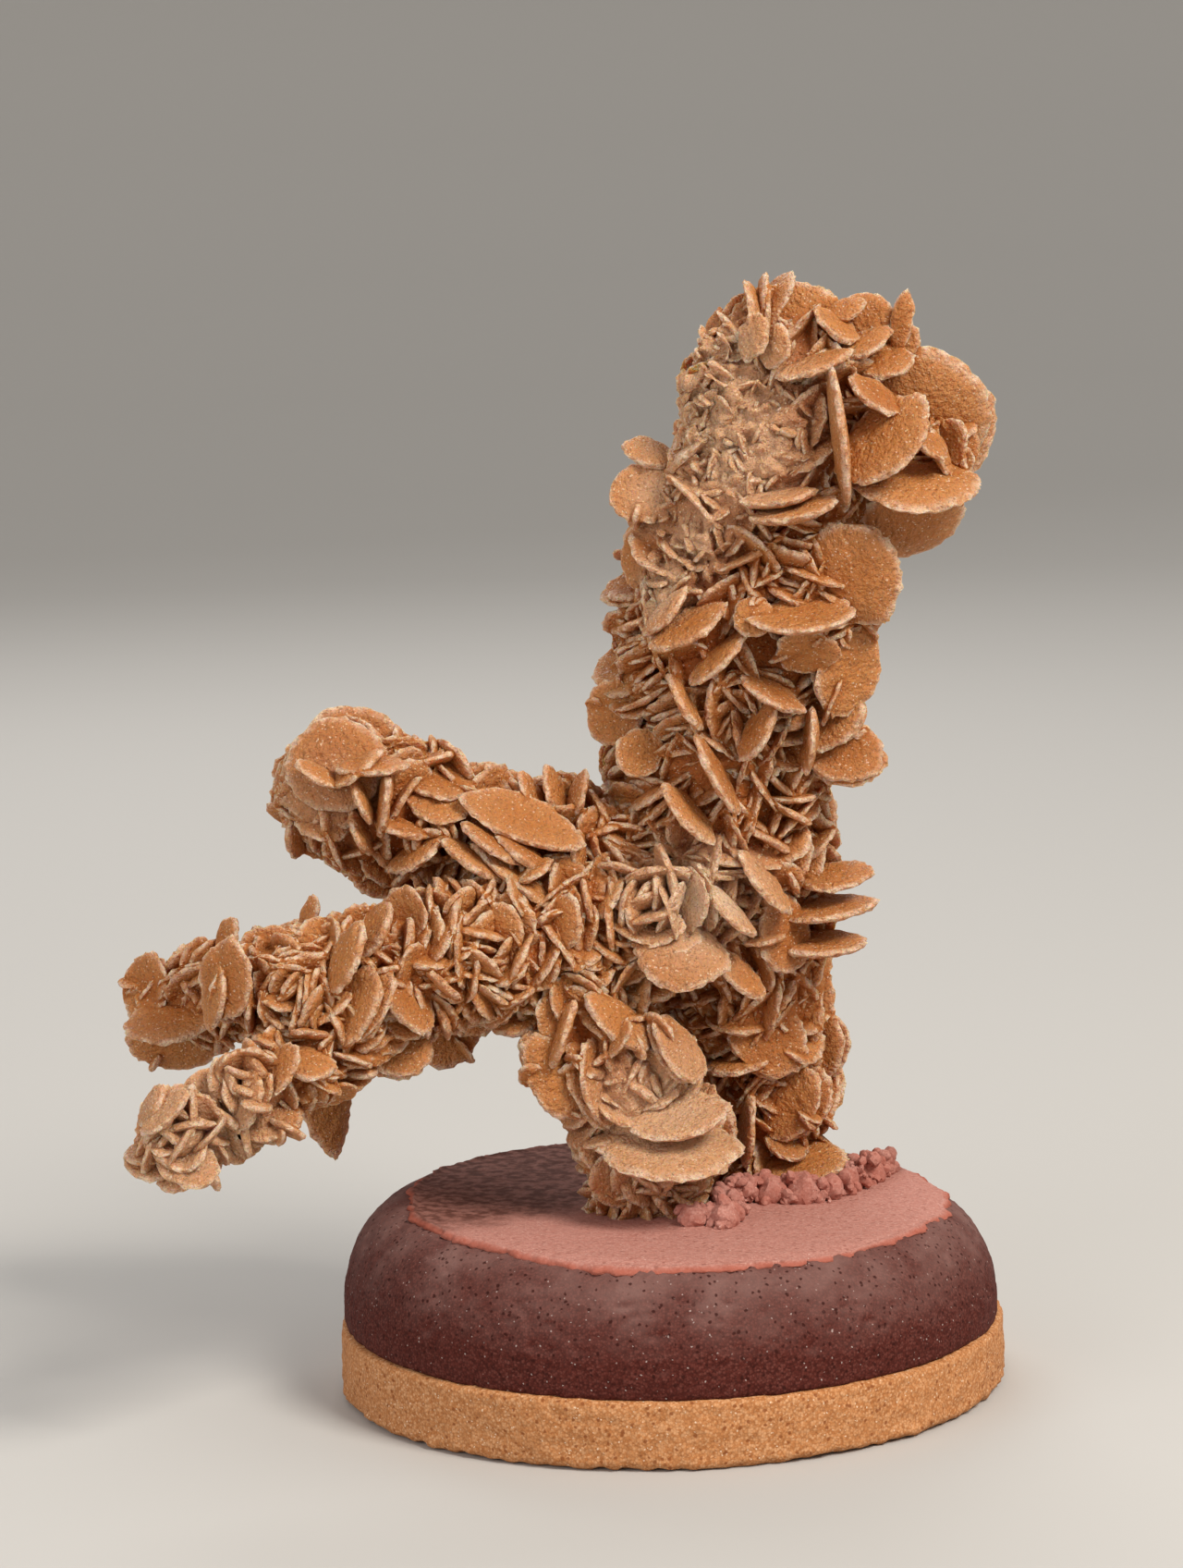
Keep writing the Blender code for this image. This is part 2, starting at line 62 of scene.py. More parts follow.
# Camera, in pixels of the picture, degrees and millimetres; its clipping is in metres.
PICTURE_WIDTH = 1280
PICTURE_HEIGHT = 1696
FOCAL_PIXELS = 4500.0
CAMERA_TILT = 7.73
CAMERA_DISTANCE = 619.2
CAMERA_ROLL = -1.9
CAMERA_TARGET = (-9.4, 0.0, 90.7)
SENSOR_MM = 36.0
CLIP_START = 0.01
CLIP_END = 50.0

# Floor: radius and height of its rings, points in a ring, and how far it lies under the part.
STAGE_RINGS = (
    (1000, 0),
    (1400, 4),
    (1700, 25),
    (1950, 70),
    (2150, 140),
    (2300, 230),
    (2400, 330),
    (2460, 450),
    (2490, 600),
)
STAGE_SIDES = 64
STAGE_DROP = 0.1
STAGE_COLOUR = (0.50, 0.485, 0.46)
STAGE_ROUGHNESS = 0.8

# Lights: name, place and size in metres, watts and colour. They aim at one point.
LIGHTS = (
    ("key", (0.55, -0.55, 0.85), 0.4, 12.5, (1.0, 0.95, 0.88)),
    ("fill", (-0.9, -0.8, 0.45), 0.8, 5.0, (0.95, 0.97, 1.0)),
    ("back", (-0.2, 0.9, 0.8), 0.6, 4.0, (1.0, 1.0, 1.0)),
)
LIGHT_AIM = (0, 0, 0.09)
WORLD_COLOUR = (0.27, 0.26, 0.25, 1)
WORLD_STRENGTH = 1.9

# Cast base.
BASE_RADIUS = 50.0
BODY_RADIUS = 49.2
FOOT_LAYER_HEIGHT = 10.0
SHOULDER_START = 12.4
SHOULDER_END = 72  # degrees of the shoulder's curve that have rings of their own
BASE_HEIGHT = 27.3
FLAT_TOP_RADIUS = 38.2
FILL_RADIUS = 40.7
FILL_CENTRE = (1.0, -1.0)
FILL_WAVES = ((3, 0.7, 0.012), (7, 2.1, 0.009))  # waves round the fill, their phase and share
FILL_INSETS = (0.0, 0.15, 0.4, 0.8, 1.2, 1.7, 2.3, 3.0, *np.arange(3.7, 38.0, 0.75))
FILL_RISE = 0.32  # how far the fill stands above the cast
BEAD = (0.3, 0.6, 0.45)  # the fill's raised rim: height, distance from the edge and width
EDGE_WIDTH = 0.7  # of the fill's crumbly edge
PITS = (0.5, 1.2, 24, 0.35)  # in the body: depth, length and seed of the noise, and its threshold
WEDGE = 0.054  # share by which the base is thicker at the left and thinner at the right
SECTORS = 480

# Roughness of the surfaces: strength, length and seed of each wave of noise.
RIPPLES = {
    "core": ((0.16, 6.0, 3),),
    "rose": ((0.14, 2.0, 6),),
    "foot": ((0.2, 1.0, 11), (0.14, 2.2, 12)),
    "foot_swell": ((0.2, 9.0, 13),),
    "foot_edge": ((0.6, 1.6, 14),),
    "body": ((0.1, 1.0, 21), (0.07, 2.4, 22), (0.22, 14.0, 23)),
    "fill": ((0.04, 1.2, 31), (0.25, 13.0, 32)),
    "fill_edge": ((0.45, 0.8, 33), (0.4, 1.8, 34)),
    "fill_wander": ((0.6, 1.6, 35), (0.7, 5.0, 36)),
    "crumbs": ((0.2, 0.6, 42), (0.2, 1.5, 43)),
    "crumb_tone": ((0.3, 2.0, 44),),
    "mass": ((0.3, 1.1, 51), (0.35, 2.3, 52)),
    "worn_mass": ((0.8, 1.3, 53), (0.6, 3.2, 54)),
}
GRAIN = (0.17, 0.12, 0.85, 5)  # on the blades: strength, what it gains at a rim, length and seed
WORN_GRAIN = (0.25, 1.5, 7)  # what the worn places have on top: strength, length and seed

# Colours of the gypsum.
# Painted shade for the hollows below the mass's surface.
PAINTED_HOLLOW_SHADE = (0.42, 0.10, 0.010)
CARAMEL = (0.41, 0.122, 0.018)
TAN = (0.52, 0.195, 0.048)
# Lighter and pale rim tones: partly the sugary rims' own colour, partly a painted highlight.
LIGHT_GYPSUM = (0.64, 0.32, 0.138)
PALE_RIM_AND_HIGHLIGHT = (0.80, 0.60, 0.44)
POWDER = (0.69, 0.44, 0.27)
BLEACHED_GYPSUM = (0.80, 0.64, 0.46)
# Painted shade for the shaded places.
SHADED_GYPSUM = (0.36, 0.105, 0.014)
DARK_SPECK = (0.16, 0.075, 0.03)
# Painted sparkle.
PAINTED_SPARKLE = (0.95, 0.8, 0.6)
SANDY = (0.22, 0.10, 0.04)

# Colours of each sand: its base, its darker grain, its lighter grain, its glints and the painted
# shade in its pits.
TAN_SAND = (
    (0.54, 0.238, 0.092),
    (0.39, 0.135, 0.037),
    (0.67, 0.365, 0.185),
    (0.85, 0.68, 0.5),
    (0.24, 0.07, 0.018),
)
MAROON_SAND = (
    (0.095, 0.018, 0.012),
    (0.052, 0.008, 0.005),
    (0.145, 0.042, 0.032),
    (0.5, 0.4, 0.36),
    (0.03, 0.004, 0.002),
)
PINK_SAND = (
    (0.47, 0.212, 0.168),
    (0.37, 0.135, 0.10),
    (0.56, 0.295, 0.245),
    (0.7, 0.5, 0.43),
    (0.2, 0.055, 0.035),
)
# Dust, and painted light on the cast's top.
MAROON_DUST_AND_LIGHT = (0.235, 0.126, 0.108)
# Dark dust and the rose's painted shadow.
DARK_DUST_AND_SHADOW = (0.115, 0.038, 0.026)  # on the fill's left
RED_EDGE = (0.36, 0.085, 0.05)

# Rose.
VOXEL = 0.5  # grid on which the mass of a branch is fused
CORE_SIDES = 24
CORE_DEPTH = 0.86  # a branch's depth as a share of its width
CORE_SHARE = 0.94  # the core's radius as a share of the mass's
CORE_CAP = 0.35  # how far the core's ends bulge, as a share of their radius
CORE_WORN = 0.14  # how much the core swells where it is worn

# Centre lines: x, y, z and radius of the mass that the blades stand on.
LINES = {
    "trunk_low": [
        [
            (16, 11, 19, 7.0), (16, 11, 32, 8.0), (15, 10, 44, 8.5), (14, 8, 56, 10.0),
            (12, 6, 68, 13.0), (9.5, 5, 80, 14.5), (10, 5, 94, 15.5), (11, 4.5, 103, 15.8),
        ],
        [(9, 4, 77, 10.0), (5, -2, 74, 9.5), (3, -5, 69, 8.0)],
        [(7, 6, 66, 7.0), (5.5, 6, 58, 5.5), (7, 7, 50, 4.5)],
    ],
    "trunk_high": [
        [
            (11, 4.5, 101, 15.5), (11.5, 4, 108, 16.0), (14, 3, 122, 15.5), (18, 1, 134, 14.0),
            (22.5, 1, 143, 14.0), (25, 1, 151, 9.5),
        ],
        [(24, 1, 143, 8.0), (34, 1, 141, 8.0), (42, 1, 138, 5.0)],
        [(18, -2, 122, 8.0), (26, -5, 119, 6.5), (28.5, -5, 116, 4.5)],
        [(13.5, -1, 139, 8.0), (14.5, -2, 149, 8.0), (17.0, -2, 155.5, 6.0)],
    ],
    "upper_arm": [
        [
            (0, 2, 77, 9.0), (-11, 1, 80, 9.0), (-21, 0, 81.5, 8.5), (-32, 0, 84.5, 8.5),
            (-41, -1, 88.5, 10.0), (-47, -1, 90.5, 8.5),
        ],
    ],
    "lower_arm": [
        [
            (-3, -3, 70, 9.0), (-15, -7, 70, 9.5), (-28, -13, 68, 9.0), (-40, -18, 66, 8.0),
            (-51, -23, 66, 6.5), (-58, -25, 66, 5.0),
        ],
    ],
    "lower_twig": [
        [
            (-43, -22, 62, 5.0), (-52, -29, 56, 4.5), (-60, -33, 50.5, 4.0), (-66, -35, 48, 5.5),
            (-70, -36, 47, 4.5),
        ],
    ],
    "rear_arm": [
        [
            (0, 10, 66, 8.0), (-16, 15, 63, 8.0), (-34, 25, 59, 7.5), (-52, 33, 57, 7.0),
            (-66, 39, 54.5, 6.5), (-77, 42, 52.5, 6.0),
        ],
    ],
    "front_leg": [
        [
            (-13, -6, 64, 7.0), (-11, -10, 56, 7.5), (-6, -11, 48, 8.5), (-2, -9.5, 39, 9.0),
            (-3, -7, 30, 7.5), (-3, -7, 22, 6.5),
        ],
    ],
}

# Which CAD node each piece of the rose stands for.
STANDS_FOR = {
    "trunk_low": "rose_trunk",
    "trunk_high": "rose_trunk",
    "upper_arm": "rose_upper_arm",
    "lower_arm": "rose_lower_arm",
    "lower_twig": "rose_lower_twig",
    "rear_arm": "rose_rear_arm",
    "front_leg": "rose_front_leg",
}

MOST_TRIANGLES = {
    "trunk_low": 165000,
    "trunk_high": 175000,
    "upper_arm": 100000,
    "lower_arm": 105000,
    "lower_twig": 45000,
    "rear_arm": 95000,
    "front_leg": 80000,
}
CRUMB_TRIANGLES = 40000

# Plates that show as such: pixel x, pixel y, depth y, half length in pixels, half width in
# millimetres, tilt away from facing the front (90 lies flat), turn of the length from level, and
# bowl (share of half length). Those marked True have no other blades set on them.
PLATES = {
    "trunk_high": [
        # head
        (853, 356, -4, 66, 7.5, 25, 0, 0.12, True),
        (975, 350, -4, 38, 1.7, 15, 78, 0.0, True),
        (938, 342, -2, 32, 3.6, 20, 10, 0.0, True),
        (905, 352, -7, 30, 3.2, 62, -40, 0.0, True),
        (935, 372, -7, 36, 3.4, 66, 22, 0.0, True),
        (958, 392, -6, 34, 3.6, 52, 8, 0.0, True),
        (962, 372, -2, 42, 4.6, 20, 70, 0.0, True),
        (915, 335, -5, 24, 2.6, 55, 15, 0.0, True),
        (838, 375, -11, 26, 3.0, 45, 70, 0.0, True),
        (990, 458, -1, 88, 11, -25, 0, -0.22, True),
        (1000, 470, 4, 86, 10, -10, 20, -0.15, True),
        (908, 470, -13, 76, 6, 88, 94, 0.0),
        (948, 428, -12, 36, 3.5, 62, -37, 0.0),
        (958, 478, -13, 68, 5.6, 42, 40, 0.06, True),
        (1005, 480, -12, 26, 2.5, 60, -45, 0.0),
        (1018, 490, -9, 28, 2.5, 70, -75, 0.0),
        (990, 515, -9, 74, 9.5, 66, -3, -0.1, True),
        (985, 566, -5, 66, 8, -40, 15, -0.15, True),
        (880, 395, -12, 44, 3.2, 72, 18, 0.0),
        (815, 365, -11, 26, 2.6, 40, 65, 0.0),
        # neck
        (843, 541, -14, 42, 4, 80, 5, 0.1),
        (860, 556, -15, 50, 4.5, 78, 8, 0.1),
        (882, 571, -16, 34, 4, 70, 12, 0.1),
        (867, 602, -18, 52, 4.5, 80, -9, 0.12),
        (851, 625, -16, 28, 3, 75, -5, 0.0),
        (925, 622, -11, 62, 7.0, -15, -60, -0.06, True),
        (870, 672, -14, 58, 6, 70, 3, 0.15),
        (815, 668, -13, 24, 3, 20, 0, 0.0),
        (873, 702, -11, 36, 4, -35, 0, 0.1),
        (915, 725, -7, 52, 5.5, -30, 80, 0.1),
        (720, 662, -11, 34, 3.5, 75, 48, 0.0),
        (745, 680, -13, 48, 4.5, 68, 29, 0.05),
        (695, 535, -2, 36, 4.8, 25, 0, 0.1),
        (703, 490, 0, 32, 3.0, 52, -22, 0.0, True),
        (700, 600, -2, 40, 4.5, 30, 80, 0.0),
        (777, 712, -12, 42, 4, 75, 38, 0.0),
        (742, 760, -11, 38, 4, 80, -60, 0.0),
    ],
    "trunk_low": [
        # middle
        (776, 838, -12, 50, 4.5, 80, -65, 0.0),
        (665, 771, -1, 36, 4.5, 25, 80, 0.1),
        (691, 815, -7, 27, 3.8, 20, -40, 0.15),
        (878, 800, -10, 38, 4.2, 84, 88, 0.1),
        (915, 815, -4, 42, 5, 30, 0, 0.1),
        (925, 868, -3, 34, 3.6, 35, 5, 0.0),
        (820, 790, -12, 40, 4, 70, 60, 0.0),
        (840, 850, -12, 36, 4, 60, -50, 0.0),
        (700, 735, -8, 36, 4, 72, 10, 0.0),
        (835, 750, -12, 40, 4, 72, -35, 0.0),
        (893, 770, -4, 46, 6, 30, 50, 0.1),
        # centre
        (737, 1030, -15, 54, 6.2, 42, -12, -0.12, True),
        (895, 985, -3, 56, 6, 82, 8, 0.06),
        (890, 1023, -4, 50, 6, 82, 2, 0.06),
        (905, 950, -2, 42, 5, 75, 12, 0.06),
        (795, 1050, -10, 46, 3, 60, -48, 0.0),
        (703, 1072, -10, 33, 4, 78, 8, 0.0),
        (745, 880, -12, 44, 4.5, 74, -55, 0.0),
        (828, 955, -10, 46, 4, 76, -52, 0.0),
        (790, 985, -13, 40, 3.6, 78, -48, 0.0),
        (848, 1010, -6, 44, 5, 40, -78, 0.0),
        # foot
        (830, 1123, 0, 48, 5.5, 15, -40, 0.1),
        (860, 1195, 2, 44, 4, 30, 60, 0.1),
        (870, 1258, 3, 50, 6, 68, 8, 0.0),
        (808, 1222, 1, 42, 4.5, 80, 80, 0.0),
        (850, 1240, 2, 26, 3, 60, -30, 0.0),
        (800, 1150, 0, 38, 4, 78, 5, 0.0),
        (880, 1130, 8, 46, 5, 20, 85, 0.1),
    ],
    "front_leg": [
        (597, 1163, -17, 52, 3.8, 20, -65, 0.0),
        (609, 1118, -18, 38, 3, 85, 70, 0.0),
        (645, 1172, -17, 50, 3.8, 50, -75, 0.1),
        (670, 1105, -17, 46, 3.6, 55, -38, 0.0),
        (735, 1135, -17, 44, 3.8, 55, -55, 0.0),
        (735, 1212, -19, 58, 5.0, 62, 6, 0.1, True),
        (723, 1238, -18, 80, 9.5, 71, -3, -0.06, True),
        (650, 1245, -14, 30, 3.5, 40, -60, 0.0),
        (730, 1275, -12, 40, 4, 30, 20, 0.0),
        (560, 1105, -12, 30, 3, 60, 10, 0.0),
    ],
    "upper_arm": [
        (384, 830, 1, 74, 9.0, 18, 0, 0.1, True),
        (363, 827, -9, 58, 7.3, 20, 15, -0.08, True),
        (357, 841, -7, 62, 7.8, 18, 25, -0.08, True),
        (355, 860, -4.5, 60, 7.6, 12, 30, -0.08, True),
        (384, 833, -12, 36, 3.8, 80, 38, 0.0, True),
        (402, 829, -12, 42, 4.0, 80, 3, 0.0, True),
        (416, 868, -12, 38, 3.8, 84, 80, 0.0, True),
        (392, 866, -12, 28, 3.6, 84, -68, 0.0, True),
        (390, 900, -10, 28, 3.6, 80, -66, 0.0, True),
        (345, 838, -12, 30, 3.0, 80, -35, 0.0, True),
        (432, 895, -11, 30, 3.4, 80, -15, 0.0, True),
        (563, 890, -9, 74, 4.6, 50, -24, 0.1, True),
        (475, 872, -8, 36, 4.0, 50, -14, 0.1, True),
        (535, 913, -12, 43, 3.8, 78, -31, 0.0),
        (516, 931, -12, 46, 3.8, 78, -35, 0.0),
        (564, 952, -12, 64, 4.2, 80, -36, 0.0),
        (575, 943, -13, 28, 3.2, 80, 22, 0.0),
        (566, 922, -12, 36, 3.4, 78, -33, 0.0),
        (470, 846, -5, 46, 4.6, 62, -20, 0.1),
        (452, 920, -9, 40, 4.2, 70, 34, 0.0),
        (600, 856, -3, 30, 3.6, 72, -75, 0.0),
        (575, 858, -4, 26, 3.2, 72, -60, 0.0),
        (625, 860, -4, 30, 3.2, 74, 70, 0.0),
    ],
    "lower_arm": [
        (248, 1058, -29, 46, 4.8, 35, 80, 0.1, True),
        (232, 1075, -28, 40, 3.6, 60, 80, 0.0),
        (375, 1035, -30, 46, 3.6, 62, 68, 0.0),
        (400, 1010, -24, 44, 4.5, 70, 50, 0.0),
        (385, 1090, -29, 50, 4.5, 55, 65, 0.0),
        (440, 1080, -25, 46, 4.5, 60, -60, 0.0),
        (470, 1020, -20, 44, 4.5, 70, 55, 0.0),
        (430, 1130, -20, 40, 5, 30, -20, 0.1),
        (520, 1050, -18, 40, 4, 65, 35, 0.0),
        (500, 985, -14, 44, 4.5, 70, -50, 0.0),
    ],
    "lower_twig": [
        (180, 1205, -43, 36, 3.6, 72, 35, 0.1),
        (165, 1195, -40, 26, 3, 70, 60, 0.0),
        (262, 1190, -38, 38, 4, 50, 70, 0.0),
        (300, 1160, -36, 38, 4, 60, 50, 0.0),
        (330, 1150, -34, 34, 3.5, 60, -15, 0.0),
        (290, 1215, -35, 36, 3.5, 55, 5, 0.0),
    ],
    "rear_arm": [
        (185, 1105, 34, 52, 6, 65, 5, 0.0),
        (160, 1065, 40, 36, 4.5, 40, 70, 0.1),
        (185, 1130, 40, 50, 5, -20, -10, -0.1),
        (347, 1173, 31, 86, 4.4, 28, -80, 0.0, True),
        (245, 1015, 38, 26, 3, 60, 60, 0.0),
        (335, 990, 34, 24, 2.5, 60, 70, 0.0),
        (230, 1070, 36, 36, 4.5, 30, 30, 0.0),
        (480, 1110, 28, 44, 6.5, 12, -10, 0.0),
        (420, 1118, 30, 44, 6, 12, 10, 0.0),
    ],
}

# Small blades that fill in: spacing of their clusters, half-length range, blades in a cluster and
# seed of the branch.
COVER = {
    "trunk_low": (5.6, (4.2, 7.6), 3, 21),
    "trunk_high": (5.6, (4.2, 7.6), 3, 22),
    "upper_arm": (4.8, (3.6, 6.2), 3, 23),
    "lower_arm": (4.6, (3.4, 5.8), 3, 24),
    "lower_twig": (4.0, (2.6, 4.4), 3, 25),
    "rear_arm": (5.0, (3.6, 6.2), 3, 26),
    "front_leg": (4.8, (3.4, 5.8), 3, 27),
}

# Rosettes: pixel x, pixel y and depth of the middle, reach in pixels, petals, and lean to the right
# and upwards.
ROSETTES = {
    "trunk_low": [(696, 983, -16, 62, 22, -0.35, 0.1)],
    "lower_arm": [(313, 1077, -32, 50, 20, -0.2, 0.25), (410, 1040, -27, 42, 16, 0.1, 0.5)],
    "lower_twig": [(180, 1232, -44, 52, 20, -0.4, 0.3), (262, 1160, -40, 38, 14, 0.0, 0.3)],
    "front_leg": [(704, 1166, -18, 52, 18, 0.2, 0.3)],
    "upper_arm": [(470, 905, -11, 36, 12, 0.1, 0.2)],
}
ROSETTE_CLEAR = 1.05  # of a placed rosette's reach, what small blades keep off
GOLDEN_ANGLE = 2.39996

# Rings of a lens-shaped plate: share of its reach and share of its thickness.
RINGS = ((0.5, 0.94), (0.8, 0.78), (0.955, 0.46))
POINTED_RINGS = ((0.5, 0.92), (0.8, 0.7), (0.95, 0.4))
SMALL_RINGS = ((0.6, 0.92), (0.92, 0.58))
POINTED = 1.2  # power of the outline from which a plate counts as pointed
LONE_POINT = 1.35
SPLINTER_POINT = 1.3
SMALL_BLADE = 2.4  # half length under which a blade has few rings
RIM_STEP = 0.75
RIM_SIDES = (10, 72)
RIM_WAVES = ((2, 0.05), (3, 0.05), (5, 0.025), (9, 0.015))  # waves round a rim, and their most
TOOTH = 0.24
TOOTH_SHARE = 0.06  # of the half length, the most that a tooth has
PLATE_THICKNESS = 1.4

COMB_SHARE = 0.4  # of the clusters, how many are combs of near-parallel blades
COMB_STEP = 2.4
COMB_SWAY = 0.16
CHIP_SPACING = 4.0
CHIPS = 6
SPLINTERS = 9
BACK_SPACING = 2.6  # of the rosettes at the back, in blades
BACK_SHARE = 0.8
BACK_PETALS = 15
BACK_FROM = 0.35  # how far to the back a place must face
BACK_TOP = 144.0  # the back's big plates stay below this height
BROAD_SPACING = 8.5  # of the broad plates at the back
BROAD_SHARE = 0.6
BROAD_FACING = 0.75  # of the broad plates, how many show their faces
PROUD = (1.3, 4.2)  # how far the small blades stand out of the mass
CLEAR_SHARE = 0.75  # of a plate's face, squared share of its reach that small blades keep off
CLEAR_HEIGHT = 2.6
TWIN_LENGTH = 5.0  # plates with a longer half length have a twin behind them
LONE_LENGTH = 8.0  # and those from here on have one crossing blade instead of two
CROSSING = 4.5  # the most half length of a crossing blade
EDGE_ON = 0.5  # a plate turned further from the viewer than this stays alone
FRONT = 0.3  # places that face less to the back than this count as the front
SIDEWAYS = 0.7  # how far the small blades of the front may turn their faces to the viewer
LEAN = 0.9  # how far the small blades lean from standing upright on the mass
PETAL_LEAN = (0.7, 1.6)
CREASE = 36.0  # degrees between faces from which an edge is shaded as sharp
FACING_SHARE = 0.07  # of the small blades, how many lie like petals and show their faces

# Worn, granular places: x, y, z and reach.
WORN = [
    (10, -10, 150, 15),
    (14, -12, 140, 13),
    (5, -12, 128, 10),
    (1, -8, 120, 8),
    (5, 0, 146, 12),
    (2, 0, 133, 8),
    (6.5, -14, 75.5, 6),
]

# Places where the crystals are powdered paler, where they are almost white, and where shade is
# painted on them: x, y, z and reach.
PALE = [
    (6.5, -14, 75.5, 15),
    (9, -12, 145, 20),
    (0, -16, 42, 17),
    (-66, -38, 48, 15),
    (-47, -3, 92, 10),
]
BLEACHED = [(6.5, -14, 75.5, 7)]
SHADED_PLACES = [(14, -10, 96, 16), (20, -6, 34, 14)]

# Crumbs heaped in front of the trunk's foot: x, y and radius of the ridge.
CRUMBS = [
    (3.5, -18.5, 2.1),
    (8.0, -18.5, 2.2),
    (8.5, -9.0, 2.6),
    (11.0, -3.0, 2.7),
    (15.0, -3.5, 2.5),
    (20.0, -4.0, 2.7),
    (24.5, -1.5, 2.5),
    (27.5, 3.5, 2.4),
    (31.0, 9.5, 2.6),
    (33.5, 15.0, 2.3),
]
CRUMB_SEED = 41
CRUMBS_A_STRETCH = 70
CRUMB_SIZES = (0.3, 1.25)


# --- camera


def camera_axes():
    """Place of the camera and its forward, right and up directions, in millimetres."""
    tilt = math.radians(CAMERA_TILT)
    roll = math.radians(CAMERA_ROLL)
    forward = np.array([0, math.cos(tilt), -math.sin(tilt)])
    level = np.array([1.0, 0, 0])
    upright = np.cross(level, forward)
    right = math.cos(roll) * level + math.sin(roll) * upright
    up = -math.sin(roll) * level + math.cos(roll) * upright
    place = np.array(CAMERA_TARGET) - forward * CAMERA_DISTANCE
    return place, forward, right, up


def at_pixel(pixel_x, pixel_y, depth):
    """The point of the plane y = depth that shows at a pixel, and the millimetres per pixel."""
    place, forward, right, up = camera_axes()
    ray = forward + (pixel_x - PICTURE_WIDTH / 2) / FOCAL_PIXELS * right
    ray -= (pixel_y - PICTURE_HEIGHT / 2) / FOCAL_PIXELS * up
    reach = (depth - place[1]) / ray[1]
    return place + ray * reach, reach / FOCAL_PIXELS


def make_camera():
    place, forward, _right, up = camera_axes()
    data = bpy.data.cameras.new("camera")
    data.sensor_width = SENSOR_MM
    data.sensor_fit = "AUTO"
    data.lens = FOCAL_PIXELS * SENSOR_MM / PICTURE_HEIGHT
    data.clip_start = CLIP_START
    data.clip_end = CLIP_END
    camera = bpy.data.objects.new("camera", data)
    bpy.context.scene.collection.objects.link(camera)
    back = Vector(-forward)
    side = Vector(up).cross(back)
    turn = Matrix((side, Vector(up), back)).transposed()
    camera.matrix_world = Matrix.Translation(Vector(place) * MM) @ turn.to_4x4()
    bpy.context.scene.camera = camera


# --- arrays


def unit(vector):
    return vector / np.linalg.norm(vector)


def random_vector(rng, most=1):
    return np.array([rng.uniform(-most, most) for _ in range(3)])


def angles(count):
    return 2 * math.pi * np.arange(count) / count


def lattice_value(cells, seed):
    """A repeatable value from 0 to 1 for each whole-number cell."""
    mixed = cells[:, 0] * 374761393 + cells[:, 1] * 668265263 + cells[:, 2] * 2147483647
    mixed = (mixed + seed * 1274126177) & 0xFFFFFFFF
    mixed = ((mixed ^ (mixed >> 13)) * 1103515245) & 0xFFFFFFFF
    mixed = ((mixed ^ (mixed >> 16)) * 69069) & 0xFFFFFFFF
    return (mixed & 0xFFFFFF) / float(0xFFFFFF)


def value_noise(points, length, seed=0):
    """Smooth noise from -1 to 1 that varies over about that length."""
    scaled = points / length
    base = np.floor(scaled).astype(np.int64)
    part = scaled - base
    part = part * part * (3 - 2 * part)
    total = np.zeros(len(points))
    for corner in range(8):
        step = np.array([corner & 1, corner >> 1 & 1, corner >> 2 & 1])
        share = np.where(step == 1, part, 1 - part).prod(axis=1)
        total += share * lattice_value(base + step, seed)
    return total * 2 - 1


def ripple(points, name):
    """The waves of noise that RIPPLES has under that name, added up."""
    total = 0.0
    for strength, length, seed in RIPPLES[name]:
        total = total + strength * value_noise(points, length, seed)
    return total


def wall(levels, sides):
    """The faces between rings of points that follow one another."""
    faces = []
    for low in range(0, (levels - 1) * sides, sides):
        up = low + sides
        for step in range(sides):
            after = (step + 1) % sides
            faces.append((low + step, low + after, up + after, up + step))
    return faces


def mesh_object(name, points, faces):
    """A smooth mesh object in metres from points in millimetres."""
    mesh = bpy.data.meshes.new(name)
    mesh.from_pydata((np.asarray(points) * MM).tolist(), [], faces)
    mesh.update()
    mesh.shade_smooth()
    item = bpy.data.objects.new(name, mesh)
    bpy.context.scene.collection.objects.link(item)
    return item


def read_rows(items, name, width, kind):
    """One property of all the items as an array with that many values in a row."""
    flat = np.empty(len(items) * width, kind)
    items.foreach_get(name, flat)
    return flat.reshape(-1, width)


def points_of(mesh):
    return read_rows(mesh.vertices, "co", 3, np.float32).astype(float) / MM


def normals_of(mesh):
    return read_rows(mesh.vertex_normals, "vector", 3, np.float32).astype(float)


def edges_of(mesh):
    return read_rows(mesh.edges, "vertices", 2, np.int32)


def set_points(mesh, points):
    mesh.vertices.foreach_set("co", (points * MM).astype(np.float32).ravel())
    mesh.update()


def set_values(mesh, name, values):
    layer = mesh.attributes.new(name, "FLOAT", "POINT")
    layer.data.foreach_set("value", np.asarray(values, np.float32))


def values_of(mesh, name):
    return read_rows(mesh.attributes[name].data, "value", 1, np.float32)[:, 0].astype(float)


def largest_part(points_count, edges):
    """Which points hang together in the largest part."""
    label = np.arange(points_count)
    while True:
        low = np.minimum(label[edges[:, 0]], label[edges[:, 1]])
        lowered = label.copy()
        np.minimum.at(lowered, edges[:, 0], low)
        np.minimum.at(lowered, edges[:, 1], low)
        lowered = lowered[lowered]
        if (lowered == label).all():
            break
        label = lowered
    return label == np.bincount(label).argmax()


# --- blades


def tilt_matrix(tilt, roll):
    """Turns a disc that faces the front by tilt about its length, then its length by roll."""
    face_front = Matrix.Rotation(math.radians(90), 3, "X")
    tilted = Matrix.Rotation(math.radians(-tilt), 3, "X")
    rolled = Matrix.Rotation(math.radians(-roll), 3, "Y")
    return np.array(rolled @ tilted @ face_front)


